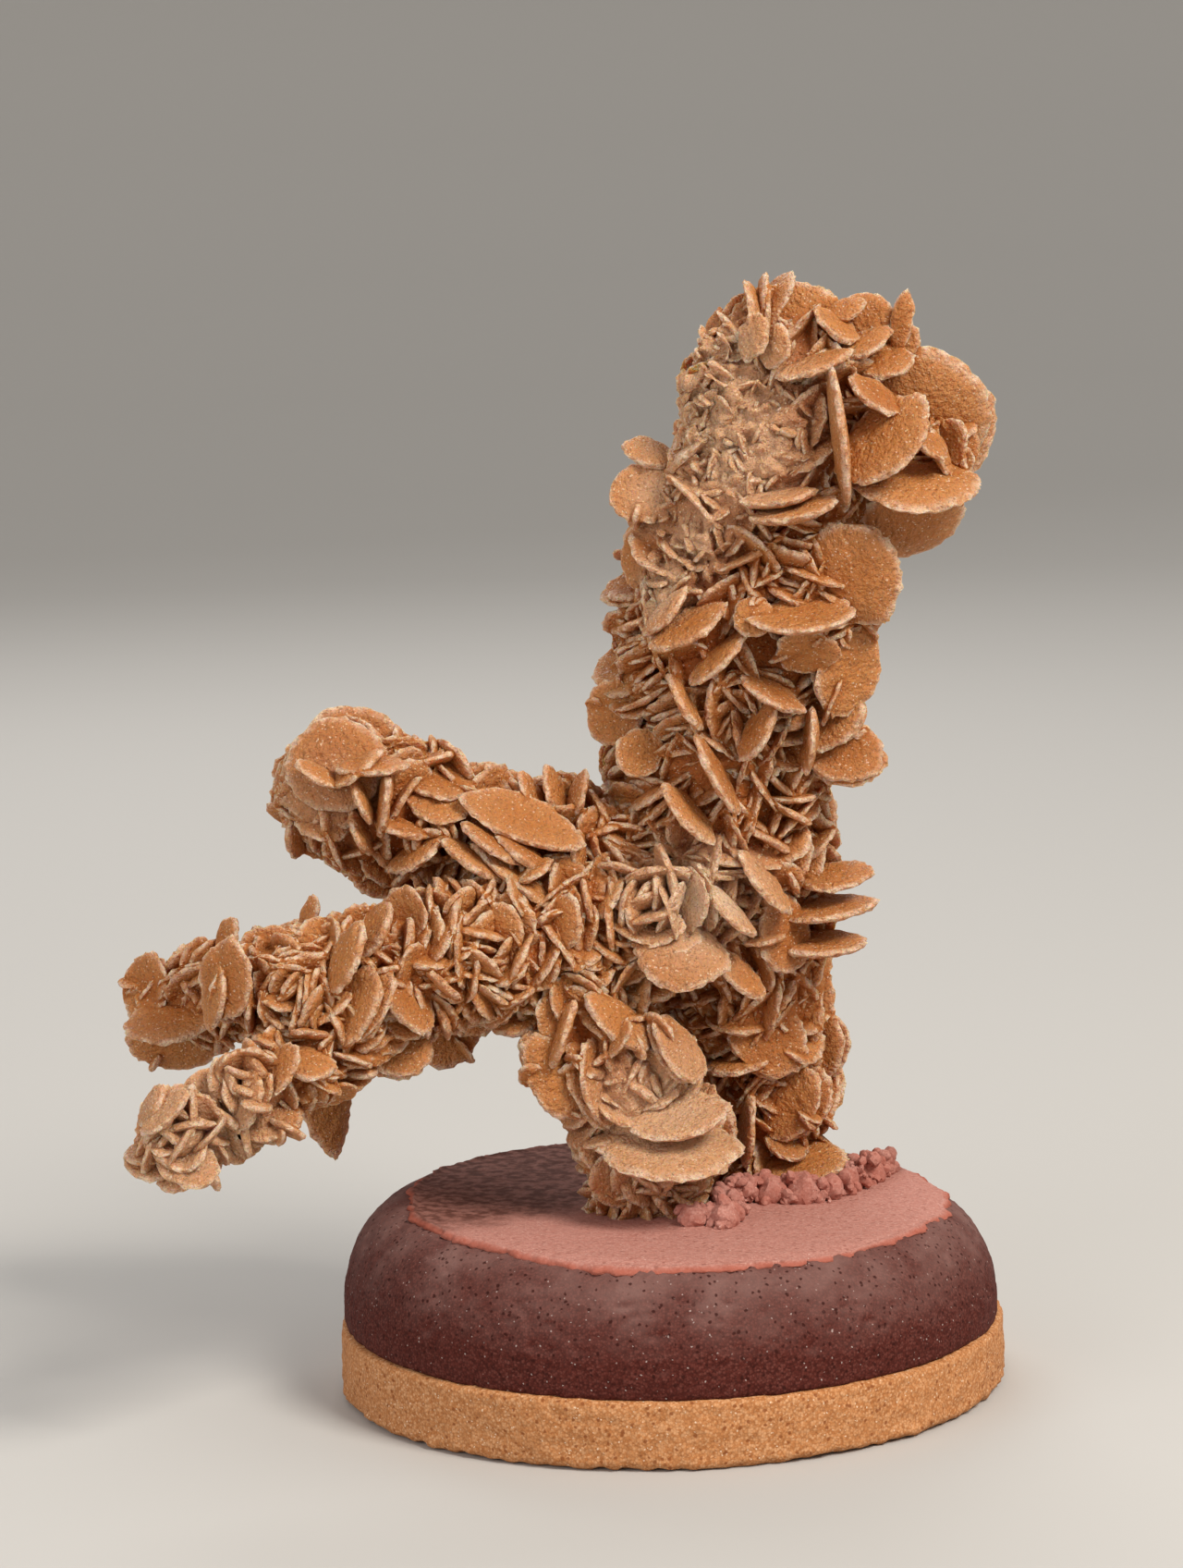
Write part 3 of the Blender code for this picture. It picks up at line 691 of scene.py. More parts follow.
def blade(centre, half_length, half_width, turn, thickness, bowl, rng, point=1.0):
    """Points, faces and share of reach at each point of one lens-shaped plate with a jagged rim."""
    profile = POINTED_RINGS if point > POINTED else RINGS
    profile = SMALL_RINGS if half_length < SMALL_BLADE else profile
    fewest, most_sides = RIM_SIDES
    sides = int(min(max(2 * math.pi * half_length / RIM_STEP, fewest), most_sides))
    angle = angles(sides)
    reach = np.ones(sides)
    for waves, most in RIM_WAVES:
        reach += rng.uniform(-most, most) * np.sin(waves * angle + rng.uniform(0, 6.3))
    tooth = np.array([rng.uniform(-1, 1) for _ in range(sides)])
    tooth = tooth * min(TOOTH / half_length, TOOTH_SHARE)
    along = half_length * reach * np.cos(angle)
    across = half_width * reach * np.sign(np.sin(angle)) * np.abs(np.sin(angle)) ** point
    lean = rng.uniform(-0.25, 0.25) * thickness / half_length
    layers = []
    for side in (1, -1):
        layers.append(np.array([[0, 0, side * thickness / 2]]))
        for share, thick in profile:
            height = np.full(sides, side * thick * thickness / 2)
            layers.append(np.column_stack((along * share, across * share, height)))
    sway = np.array([rng.uniform(-0.2, 0.2) for _ in range(sides)])
    layers.append(np.column_stack((along * (1 + tooth), across * (1 + tooth), sway)))
    local = np.concatenate(layers)
    far = (local[:, 0] / half_length) ** 2 + (local[:, 1] / half_width) ** 2
    local[:, 2] += bowl * half_length * far + lean * local[:, 0]
    one_side = [0.0] + [share for share, _thick in profile for _ in range(sides)]
    shares = np.array(one_side * 2 + [1.0] * sides)
    faces = []
    half = 1 + len(profile) * sides
    rim = 2 * half
    for start, flip in ((0, False), (half, True)):
        starts = [start + 1 + step * sides for step in range(len(profile))] + [rim]
        for step in range(sides):
            after = (step + 1) % sides
            ring = [(start, starts[0] + step, starts[0] + after)]
            for inner, outer in zip(starts, starts[1:]):
                ring.append((inner + step, outer + step, outer + after))
                ring.append((inner + step, outer + after, inner + after))
            faces.extend(face[::-1] if flip else face for face in ring)
    return local @ np.array(turn).T + np.asarray(centre), faces, shares


def frames_along(line):
    """Centre, tangent, two directions across and radius at each station of a line."""
    found = []
    for index, (x, y, z, radius) in enumerate(line):
        before = np.array(line[max(index - 1, 0)][:3], float)
        after = np.array(line[min(index + 1, len(line) - 1)][:3], float)
        tangent = unit(after - before)
        side = unit(np.cross(tangent, (0, 1, 0)))
        found.append((np.array([x, y, z], float), tangent, side, np.cross(tangent, side), radius))
    return found


def near(points, places):
    """How near each point is to one of the places, from 0 to 1."""
    found = np.zeros(len(points))
    for x, y, z, reach in places:
        away = np.linalg.norm(points - np.array([x, y, z]), axis=1) / reach
        found = np.maximum(found, np.clip(1.6 - 1.6 * away, 0, 1))
    return found


def worn_at(points):
    return near(points, WORN)


def core(line):
    """Points, faces and zero shares of the lumpy mass inside a branch."""
    frames = frames_along(line)
    points = []
    for centre, _tangent, side, other, radius in frames:
        for step in range(CORE_SIDES):
            angle = 2 * math.pi * step / CORE_SIDES
            outward = side * math.cos(angle) + other * math.sin(angle) * CORE_DEPTH
            points.append(centre + outward * radius * CORE_SHARE)
    faces = wall(len(frames), CORE_SIDES)
    for level, sign in ((0, -1), (len(frames) - 1, 1)):
        centre, tangent, _side, _other, radius = frames[level]
        points.append(centre + tangent * sign * CORE_CAP * radius)
        for step in range(CORE_SIDES):
            pair = (level * CORE_SIDES + step, level * CORE_SIDES + (step + 1) % CORE_SIDES)
            faces.append((*pair[::sign], len(points) - 1))
    points = np.array(points)
    middle = np.repeat([frame[0] for frame in frames], CORE_SIDES, axis=0)
    count = len(middle)
    swell = 1 + ripple(points[:count], "core") + CORE_WORN * worn_at(points[:count])
    points[:count] = middle + (points[:count] - middle) * swell[:, None]
    return points, faces, np.zeros(len(points))


def spots_on(lines, spacing, rng):
    """Evenly scattered places on a branch: a point, the outward direction and the tangent."""
    found = []
    for line in lines:
        frames = frames_along(line)
        start = 0.0
        for first, second in zip(frames, frames[1:]):
            run = np.linalg.norm(second[0] - first[0])
            while start < run:
                share = start / run
                centre = first[0] + (second[0] - first[0]) * share
                radius = first[4] + (second[4] - first[4]) * share
                count = max(4, round(2 * math.pi * radius / spacing))
                offset = rng.uniform(0, 2 * math.pi)
                for step in range(count):
                    angle = offset + 2 * math.pi * (step + rng.uniform(-0.25, 0.25)) / count
                    outward = first[2] * math.cos(angle) + first[3] * math.sin(angle) * CORE_DEPTH
                    slide = first[1] * rng.uniform(-0.35, 0.35) * spacing
                    found.append((centre + outward * radius + slide, outward, first[1]))
                start += spacing * 0.85
            start -= run
        for centre, tangent, _side, _other, radius, sign in ((*frames[0], -1), (*frames[-1], 1)):
            for _ in range(max(5, round(radius * radius / spacing))):
                outward = unit(tangent * sign + random_vector(rng))
                found.append((centre + outward * radius * 0.8, outward, tangent))
    return found


def disc_turn(length, normal):
    """The directions of a disc: its length, its width and its normal."""
    return np.column_stack((length, np.cross(normal, length), normal))


def random_turn(outward, facing, rng):
    """Turns a disc so that its plane holds the outward direction, or that it lies like a petal."""
    across = np.cross(outward, random_vector(rng))
    if outward[1] < FRONT:
        across[1] *= SIDEWAYS
    lean = rng.uniform(*PETAL_LEAN) if facing else rng.uniform(-LEAN, LEAN)
    normal = unit(unit(across) + outward * lean)
    return disc_turn(unit(np.cross(normal, outward)), normal)


def facing_turn(outward):
    """The directions of a disc that faces outward."""
    return disc_turn(unit(np.cross((0.2, 0.1, 1.0), outward)), outward)


def turned(turn, axis, degrees):
    """A plate's directions turned about one of its own axes."""
    own = np.array(turn) @ np.array(axis, float)
    return np.array(Matrix.Rotation(math.radians(degrees), 3, Vector(own))) @ np.array(turn)


def company(centre, half_length, half_width, turn, thickness, rng):
    """Blades that cross a plate near its rim, and one that lies close behind it."""
    shapes = []
    normal = turn[:, 2] if turn[1, 2] > 0 else -turn[:, 2]
    if abs(normal[1]) < EDGE_ON:
        return shapes
    if half_length > TWIN_LENGTH:
        shift = np.array([rng.uniform(-0.12, 0.12), rng.uniform(-0.12, 0.12), 0])
        shift = turn @ shift * half_length
        twin = turned(turn, (rng.uniform(-1, 1), rng.uniform(-1, 1), 0), rng.uniform(4, 12))
        size = rng.uniform(0.86, 1.0)
        place = centre + normal * rng.uniform(1.0, 1.5) * thickness * 0.6 + shift
        sizes = (half_length * size, half_width * size)
        shapes.append(blade(place, *sizes, twin, thickness * 0.8, 0, rng))
    for _ in range(2 if half_length < LONE_LENGTH else 1):
        angle = rng.uniform(0, 2 * math.pi)
        away = (math.cos(angle), math.sin(angle), 0)
        spot = np.array([away[0] * half_length, away[1] * half_width, 0]) * 0.7
        own = turned(turn, away, rng.choice((-1, 1)) * rng.uniform(45, 90))
        own = turned(own, (0, 0, 1), rng.uniform(-30, 30))
        size = min(half_length * rng.uniform(0.4, 0.7), CROSSING)
        place = centre + turn @ spot + normal * 0.5
        width = size * rng.uniform(0.5, 0.8)
        thick = rng.uniform(1.1, 1.6)
        shapes.append(blade(place, size, width, own, thick, 0, rng, SPLINTER_POINT))
    return shapes


def on_a_face(centre, faces):
    """Whether a place lies on the clear face of one of the plates that show."""
    for middle, half_length, half_width, turn in faces:
        local = np.asarray(turn).T @ (centre - middle)
        across = (local[0] / half_length) ** 2 + (local[1] / half_width) ** 2
        if across < CLEAR_SHARE and abs(local[2]) < CLEAR_HEIGHT:
            return True
    return False


def chips(name, rng):
    """Crisp splinters all over the worn places."""
    shapes = []
    for place, outward, _tangent in spots_on(LINES[name], CHIP_SPACING, rng):
        for _ in range(int(SPLINTERS * worn_at(place[None])[0])):
            scatter = random_vector(rng, 0.7) * CHIP_SPACING
            size = rng.uniform(0.8, 2.4)
            centre = place + scatter - outward * (scatter @ outward + rng.uniform(-0.7, 0.9))
            turn = random_turn(outward, rng.random() < 0.3, rng)
            width = size * rng.uniform(0.35, 0.8)
            thick = rng.uniform(0.5, 0.95)
            shapes.append(blade(centre, size, width, turn, thick, 0, rng, SPLINTER_POINT))
    return shapes


def mass(name, rng):
    """The granular mass of a branch, with the chips of its worn places, as one closed mesh."""
    shapes = [core(line) for line in LINES[name]]
    for place, outward, _tangent in spots_on(LINES[name], CHIP_SPACING, rng):
        worn = worn_at(place[None])[0]
        for _ in range(int(CHIPS * worn + rng.random())):
            scatter = random_vector(rng, 0.6) * CHIP_SPACING
            centre = place + scatter - outward * (scatter @ outward + rng.uniform(-0.4, 1.6))
            size = rng.uniform(0.7, 2.2)
            turn = random_turn(outward, rng.random() < 0.4, rng)
            thick = rng.uniform(0.9, 1.6)
            shapes.append(blade(centre, size, size * rng.uniform(0.4, 0.9), turn, thick, 0, rng))
    item = fused(name, shapes)
    points = points_of(item.data)
    push = ripple(points, "mass") + worn_at(points) * ripple(points, "worn_mass")
    set_points(item.data, points + normals_of(item.data) * push[:, None])
    set_values(item.data, "rim", np.zeros(len(points)))
    set_values(item.data, "tint", np.full(len(points), 0.5))
    return item


def rosette(middle, axis, reach, petals, rng):
    """Petals nested about a middle: steep in the middle, opening towards the outside."""
    axis = unit(np.asarray(axis, float))
    first = unit(np.cross(axis, (0.3, 0.2, 1.0)))
    second = np.cross(axis, first)
    shapes = []
    for index in range(petals):
        share = math.sqrt((index + 0.5) / petals) * rng.uniform(0.8, 1.1)
        angle = index * GOLDEN_ANGLE + rng.uniform(-0.7, 0.7)
        radial = first * math.cos(angle) + second * math.sin(angle)
        opening = math.radians(8 + 42 * share * share + rng.uniform(-24, 24))
        askew = angle + rng.choice((0.4, 1, 1)) * rng.uniform(-1.1, 1.1)
        facing = first * math.cos(askew) + second * math.sin(askew)
        normal = facing * math.cos(opening) - axis * math.sin(opening)
        turn = disc_turn(unit(np.cross(normal, axis)), normal)
        size = reach * (0.36 + 0.28 * share) * rng.uniform(0.75, 1.25)
        centre = middle + radial * reach * share * 0.72
        centre = centre - axis * reach * (0.28 + 0.55 * share * share)
        thick = rng.uniform(1.1, 1.6)
        width = size * rng.uniform(0.75, 0.95)
        shapes.append(blade(centre, size, width, turn, thick, -rng.uniform(-0.04, 0.16), rng))
    return shapes


def placed_plates(name, rng):
    """The plates that show as such, with their company, and the faces that they keep clear."""
    shapes = []
    clear = []
    for pixel_x, pixel_y, depth, half_pixels, half_width, tilt, roll, bowl, *alone in PLATES[name]:
        centre, per_pixel = at_pixel(pixel_x, pixel_y, depth)
        half_length = half_pixels * per_pixel
        thick = PLATE_THICKNESS + 0.08 * half_length
        turn = tilt_matrix(tilt, roll)
        clear.append((centre, half_length, half_width, turn))
        point = LONE_POINT if alone or abs(turn[1, 2]) < EDGE_ON else 1.0
        shapes.append(blade(centre, half_length, half_width, turn, thick, bowl, rng, point))
        if not alone:
            shapes.extend(company(centre, half_length, half_width, turn, thick, rng))
    return shapes, clear


def at_the_back(name, spacing, share, rng):
    """Some of the scattered places of a branch that face the back, below the head."""
    for place, outward, _tangent in spots_on(LINES[name], spacing, rng):
        if outward[1] >= BACK_FROM and rng.random() <= share and place[2] <= BACK_TOP:
            yield place, outward


def broad_plates(name, longest, rng):
    """Broad plates at the back of a branch."""
    shapes = []
    for place, outward in at_the_back(name, BROAD_SPACING, BROAD_SHARE, rng):
        half_length = longest * rng.uniform(1.0, 1.35)
        turn = random_turn(outward, rng.random() < BROAD_FACING, rng)
        centre = place + outward * (rng.uniform(2.5, 4.5) - half_length * 0.7)
        half_width = half_length * rng.uniform(0.7, 0.95)
        bowl = rng.uniform(-0.15, 0.15)
        thick = PLATE_THICKNESS + 0.1 * half_length
        shapes.append(blade(centre, half_length, half_width, turn, thick, bowl, rng))
        shapes.extend(company(centre, half_length, half_width, turn, thick, rng))
    return shapes


def rosettes(name, longest, rng):
    """The rosettes placed one by one and those at the back, and the places they keep clear."""
    shapes = []
    clear = []
    for pixel_x, pixel_y, depth, pixels, petals, right, up in ROSETTES.get(name, ()):
        middle, per_pixel = at_pixel(pixel_x, pixel_y, depth)
        shapes.extend(rosette(middle, (right, -1.0, up), pixels * per_pixel, petals, rng))
        reach = pixels * per_pixel * ROSETTE_CLEAR
        clear.append((middle, reach, reach, tilt_matrix(0, 0)))
    for place, outward in at_the_back(name, longest * BACK_SPACING, BACK_SHARE, rng):
        reach = longest * rng.uniform(0.85, 1.2)
        middle = place + outward * reach * 0.3
        shapes.extend(rosette(middle, outward, reach, BACK_PETALS, rng))
        clear.append((middle, reach, reach, facing_turn(outward)))
    return shapes, clear


def small_blade(spot, shared, shift, sizes, rng):
    """Place, half length, thickness and turn of one blade of a comb, or of a loose cluster."""
    place, outward, tangent = spot
    half_length = rng.uniform(*sizes)
    thick = rng.uniform(1.1, 1.65)
    centre = place + outward * (rng.uniform(*PROUD) - half_length)
    if shared is not None:
        sway = [random_vector(rng, COMB_SWAY) for _ in range(3)]
        turn = np.linalg.qr(shared + sway)[0]
        return centre + shared[:, 2] * shift * COMB_STEP, half_length, thick, turn
    centre = centre + tangent * rng.uniform(-0.4, 0.4) * sizes[1]
    facing = rng.random() < FACING_SHARE
    return centre, half_length, thick, random_turn(outward, facing, rng)


def small_blades(name, clear, rng):
    """Clusters of small blades all over a branch, off the clear faces and the worn places."""
    spacing, sizes, count, _seed = COVER[name]
    shapes = []
    for spot in spots_on(LINES[name], spacing, rng):
        worn = worn_at(spot[0][None])[0]
        comb = rng.random() < COMB_SHARE
        shared = random_turn(spot[1], False, rng)
        for index in range(count):
            shift = index - (count - 1) / 2
            found = small_blade(spot, shared if comb else None, shift, sizes, rng)
            centre, half_length, thick, turn = found
            tip = centre + spot[1] * half_length * 0.8
            if rng.random() < worn or on_a_face(tip, clear):
                continue
            half_width = half_length * rng.uniform(0.75, 1.0)
            bowl = rng.uniform(-0.16, 0.16)
            point = rng.uniform(0.9, 1.15)
            shapes.append(blade(centre, half_length, half_width, turn, thick, bowl, rng, point))
    return shapes


def branch_blades(name, rng):
    """All the plates, rosettes and small blades of a branch."""
    longest = COVER[name][1][1]
    plates, faces = placed_plates(name, rng)
    broad = broad_plates(name, longest, rng)
    petals, middles = rosettes(name, longest, rng)
    return plates + broad + petals + small_blades(name, faces + middles, rng)


def joined(shapes):
    """One list of points and one of faces for all the shapes."""
    points = []
    faces = []
    start = 0
    for some_points, some_faces, _shares in shapes:
        points.append(some_points)
        faces.extend(tuple(start + corner for corner in face) for face in some_faces)
        start += len(some_points)
    return np.concatenate(points), faces


def shape_mesh(shape, tint):
    """A mesh of one shape that carries its shares of reach and its own tint."""
    points, faces, shares = shape
    mesh = bpy.data.meshes.new("shape")
    mesh.from_pydata((points * MM).tolist(), [], faces)
    set_values(mesh, "rim", shares)
    set_values(mesh, "tint", np.full(len(points), tint))
    return mesh


def evaluated_mesh(item, name):
    """Puts what the object's modifiers make in place of its mesh."""
    graph = bpy.context.evaluated_depsgraph_get()
    mesh = bpy.data.meshes.new_from_object(item.evaluated_get(graph))
    item.modifiers.clear()
    spent = item.data
    item.data = mesh
    bpy.data.meshes.remove(spent)
    mesh.name = name


def united(item, shapes, most_triangles):
    """Makes the object the exact union of its mesh and all the shapes, thinned where it must be."""
    rng = random.Random(item.name)
    helpers = bpy.data.collections.new("helpers")
    for shape in shapes:
        helpers.objects.link(bpy.data.objects.new("helper", shape_mesh(shape, rng.random())))
    union = item.modifiers.new("union", "BOOLEAN")
    union.operation = "UNION"
    union.solver = "MANIFOLD"
    union.operand_type = "COLLECTION"
    union.collection = helpers
    evaluated_mesh(item, item.name)
    spent = [helper.data for helper in helpers.objects]
    for helper in list(helpers.objects):
        bpy.data.objects.remove(helper)
    for mesh in spent:
        bpy.data.meshes.remove(mesh)
    bpy.data.collections.remove(helpers)
    keep_largest(item)
    found = sum(len(face.vertices) - 2 for face in item.data.polygons)
    if found > most_triangles:
        thin = item.modifiers.new("thin", "DECIMATE")
        thin.ratio = most_triangles / found
        evaluated_mesh(item, item.name)


def fused(name, shapes):
    """One closed mesh of all the shapes on a grid, with its largest part kept."""
    points, faces = joined(shapes)
    item = mesh_object(name, points, faces)
    modifier = item.modifiers.new("fuse", "REMESH")
    modifier.mode = "VOXEL"
    modifier.voxel_size = VOXEL * MM
    modifier.use_smooth_shade = True
    evaluated_mesh(item, name)
    keep_largest(item)
    return item


def keep_largest(item):
    """Rebuilds the mesh without the points that don't hang together with its largest part."""
    mesh = item.data
    keep = largest_part(len(mesh.vertices), edges_of(mesh))
    if keep.all():
        return
    corners = read_rows(mesh.loops, "vertex_index", 1, np.int32)[:, 0]
    sizes = read_rows(mesh.polygons, "loop_total", 1, np.int32)[:, 0]
    starts = np.concatenate(([0], np.cumsum(sizes)[:-1]))
    fresh = np.cumsum(keep) - 1
    faces = []
    for start, size in zip(starts, sizes):
        face = corners[start : start + size]
        if keep[face[0]]:
            faces.append(fresh[face].tolist())
    rebuilt = bpy.data.meshes.new(mesh.name)
    rebuilt.from_pydata((points_of(mesh)[keep] * MM).tolist(), [], faces)
    for name in ("rim", "tint"):
        if name in mesh.attributes:
            set_values(rebuilt, name, values_of(mesh, name)[keep])
    rebuilt.update()
    rebuilt.shade_smooth()
    item.data = rebuilt
    bpy.data.meshes.remove(mesh)


def outside_mass(points, lines):
    """How far each point lies outside the mass that the blades stand on, in millimetres."""
    least = np.full(len(points), 1e9)
    for line in lines:
        for (*start, first), (*end, second) in zip(line, line[1:]):
            run = np.array(end) - np.array(start)
            share = np.clip((points - start) @ run / (run @ run), 0, 1)
            away = np.linalg.norm(points - start - share[:, None] * run, axis=1)
            least = np.minimum(least, away - first - (second - first) * share)
    return least


def shade_creased(mesh):
    mesh.shade_smooth()
    mesh.set_sharp_from_angle(angle=math.radians(CREASE))


def dress(item, node, material):
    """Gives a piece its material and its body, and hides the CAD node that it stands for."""
    item.data.materials.append(material)
    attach(item, "root")
    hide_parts(node)


def rose_piece(name, material):
    rng = random.Random(COVER[name][3])
    item = mass(name, rng)
    united(item, branch_blades(name, rng) + chips(name, rng), MOST_TRIANGLES[name])
    mesh = item.data
    points = points_of(mesh)
    worn = worn_at(points)
    rim = np.clip((values_of(mesh, "rim") - 0.7) / 0.3, 0, 1)
    strength, at_rim, length, seed = GRAIN
    push = (strength + at_rim * rim) * value_noise(points, length, seed) + ripple(points, "rose")
    strength, length, seed = WORN_GRAIN
    push = push + worn * strength * value_noise(points, length, seed)
    points += normals_of(mesh) * push[:, None]
    set_points(mesh, points)
    set_values(mesh, "outside", outside_mass(points, LINES[name]))
    # Powder where this is above nought; painted shade at the shaded places where it is below.
    powder = np.maximum(worn, near(points, PALE)) - near(points, SHADED_PLACES)
    set_values(mesh, "powder", powder + near(points, BLEACHED))
    shade_creased(mesh)
    dress(item, STANDS_FOR[name], material)


# --- base


def shoulder_height(radius):
    """Height of the cast's top at each distance from its axis, before the wedge."""
    share = np.clip((radius - FLAT_TOP_RADIUS) / (BODY_RADIUS - FLAT_TOP_RADIUS), 0, 1)
    return SHOULDER_START + (BASE_HEIGHT - SHOULDER_START) * np.sqrt(1 - share * share)


def wedge(points):
    points[:, 2] *= 1 - WEDGE * points[:, 0] / BASE_RADIUS
    return points


def revolved(name, rings):
    """A closed solid from rings of points of equal count, capped by a point at each end."""
    rings = [wedge(ring) for ring in rings]
    sectors = len(rings[0])
    ends = [rings[0].mean(axis=0)[None], rings[-1].mean(axis=0)[None]]
    points = np.concatenate(rings + ends)
    faces = wall(len(rings), sectors)
    bottom = len(points) - 2
    last = (len(rings) - 1) * sectors
    for step in range(sectors):
        after = (step + 1) % sectors
        faces.append((after, step, bottom))
        faces.append((last + step, last + after, bottom + 1))
    return mesh_object(name, points, faces)


def circle(radius, height):
    angle = angles(SECTORS)
    level = np.full(SECTORS, float(height))
    return np.column_stack((radius * np.cos(angle), radius * np.sin(angle), level))


def fill_edge(angle):
    """The fill's wandering radius about its own centre."""
    share = 1.0
    for waves, phase, most in FILL_WAVES:
        share = share + most * np.sin(waves * angle + phase)
    return FILL_RADIUS * share


def fill_circle(inset, rise, floor=None):
    """A ring along the fill's edge, at a height above the cast's own surface or at a set height."""
    angle = angles(SECTORS)
    reach = fill_edge(angle) - inset
    x = FILL_CENTRE[0] + reach * np.cos(angle)
    y = FILL_CENTRE[1] + reach * np.sin(angle)
    level = shoulder_height(np.hypot(x, y)) + rise if floor is None else np.full(SECTORS, floor)
    return np.column_stack((x, y, level))


def foot_layer(material):
    profile = [(radius, 0.0) for radius in (12, 24, 34, 42, 46, 48.0)]
    profile += [(48.9, 0.15), (49.5, 0.5)]
    profile += [(BASE_RADIUS - 0.1 * abs(h - 5) / 5, h) for h in np.arange(1.0, 9.3, 0.5)]
    profile += [(49.8, 9.6), (49.4, 9.9), (48.6, 10.05), (46.0, 10.05)]
    item = revolved("foot_layer", [circle(*station) for station in profile])
    points = points_of(item.data)
    low_edge = np.clip(1 - points[:, 2] / 2.2, 0, 1) * (points[:, 2] > 0.05)
    push = ripple(points, "foot")
    push += ripple(points, "foot_swell") + low_edge * (0.15 + ripple(points, "foot_edge"))
    push[np.hypot(points[:, 0], points[:, 1]) < 48.3] = 0
    points += normals_of(item.data) * push[:, None] * [1, 1, 0.6]
    points[:, 2] = np.maximum(points[:, 2], 0)
    set_points(item.data, points)
    dress(item, "base_foot_layer", material)


def body(material):
    rings = [circle(radius, FOOT_LAYER_HEIGHT - 0.3) for radius in (12.0, 30.0, 44.0, 47.5)]
    rings += [circle(48.7, FOOT_LAYER_HEIGHT - 0.1), circle(49.1, FOOT_LAYER_HEIGHT + 0.25)]
    rings += [circle(BODY_RADIUS, height) for height in np.arange(10.7, SHOULDER_START, 0.5)]
    for degrees in np.arange(0, SHOULDER_END, 2.0):
        share = math.cos(math.radians(degrees))
        radius = FLAT_TOP_RADIUS + (BODY_RADIUS - FLAT_TOP_RADIUS) * share
        rings.append(circle(radius, shoulder_height(np.array(radius))))
    outer = rings[-1]
    inner = fill_circle(2.0, -0.25)
    for share in np.linspace(0.12, 1.0, 8):
        ring = outer + (inner - outer) * share
        ring[:, 2] = shoulder_height(np.hypot(ring[:, 0], ring[:, 1]))
        rings.append(ring)
    rings += [fill_circle(2.6, 0, BASE_HEIGHT - 3), fill_circle(20, 0, BASE_HEIGHT - 3)]
    item = revolved("body", rings)
    points = points_of(item.data)
    depth, length, seed, threshold = PITS
    push = ripple(points, "body")
    push -= depth * np.clip(value_noise(points, length, seed) - threshold, 0, 1)
    set_points(item.data, points + normals_of(item.data) * push[:, None])
    dress(item, "base_body", material)


def top_fill(material):
    rings = [fill_circle(2.2, 0, BASE_HEIGHT - 2.6), fill_circle(0.5, -0.6)]
    height, middle, width = BEAD
    for inset in FILL_INSETS:
        bead = height * math.exp(-(((inset - middle) / width) ** 2))
        rings.append(fill_circle(inset, FILL_RISE * min(inset / 0.8, 1) + bead))
    item = revolved("top_fill", rings)
    points = points_of(item.data)
    offset = points[:, :2] - np.array(FILL_CENTRE)
    reach = np.hypot(offset[:, 0], offset[:, 1])
    inset = fill_edge(np.arctan2(offset[:, 1], offset[:, 0])) - reach
    edge = np.exp(-((inset / EDGE_WIDTH) ** 2))
    push = ripple(points, "fill") + edge * ripple(points, "fill_edge")
    points += normals_of(item.data) * push[:, None]
    wander = edge * ripple(points, "fill_wander")
    points[:, :2] += offset / np.maximum(reach, 1)[:, None] * wander[:, None]
    set_points(item.data, points)
    set_values(item.data, "edge", edge)
    dress(item, "base_top_fill", material)


def crumb(x, y, radius, rise, rng):
    """One crumb, that much above the place where it would lie on the fill."""
    height = BASE_HEIGHT + 0.3 - WEDGE * x / BASE_RADIUS * BASE_HEIGHT + 0.3 * radius + rise
    turn = random_turn(unit(random_vector(rng)), True, rng)
    thick = radius * rng.uniform(1.2, 1.8)
    width = radius * rng.uniform(0.7, 1)
    return blade(np.array([x, y, height]), radius, width, turn, thick, 0, rng)


def crumb_ridge(material):
    """The heap of crumbs in front of the trunk's foot, and loose crumbs beside it."""
    rng = random.Random(CRUMB_SEED)
    shapes = []
    for x, y, radius in CRUMBS:
        shapes.append(crumb(x, y, radius, 0.6, rng))
        shapes.append(crumb(x, y + 1.5, radius, 0.0, rng))
    for (x0, y0, r0), (x1, y1, r1) in zip(CRUMBS, CRUMBS[1:]):
        for _ in range(CRUMBS_A_STRETCH):
            share = rng.random()
            away = rng.gauss(0, 1.5)
            swell = r0 + (r1 - r0) * share
            x = x0 + (x1 - x0) * share + rng.gauss(0, 1.4)
            y = y0 + (y1 - y0) * share + away + 0.8
            rise = rng.random() * max(0.0, 1.5 * swell - 1.1 * abs(away))
            shapes.append(crumb(x, y, rng.uniform(*CRUMB_SIZES), rise, rng))
    item = bpy.data.objects.new("crumb_ridge", shape_mesh(shapes[0], 0.5))
    bpy.context.scene.collection.objects.link(item)
    united(item, shapes[1:], CRUMB_TRIANGLES)
    points = points_of(item.data)
    push = ripple(points, "crumbs")
    set_points(item.data, points + normals_of(item.data) * push[:, None])
    shade_creased(item.data)
    set_values(item.data, "edge", 0.45 + ripple(points, "crumb_tone"))
    dress(item, "base_top_fill", material)


# --- materials


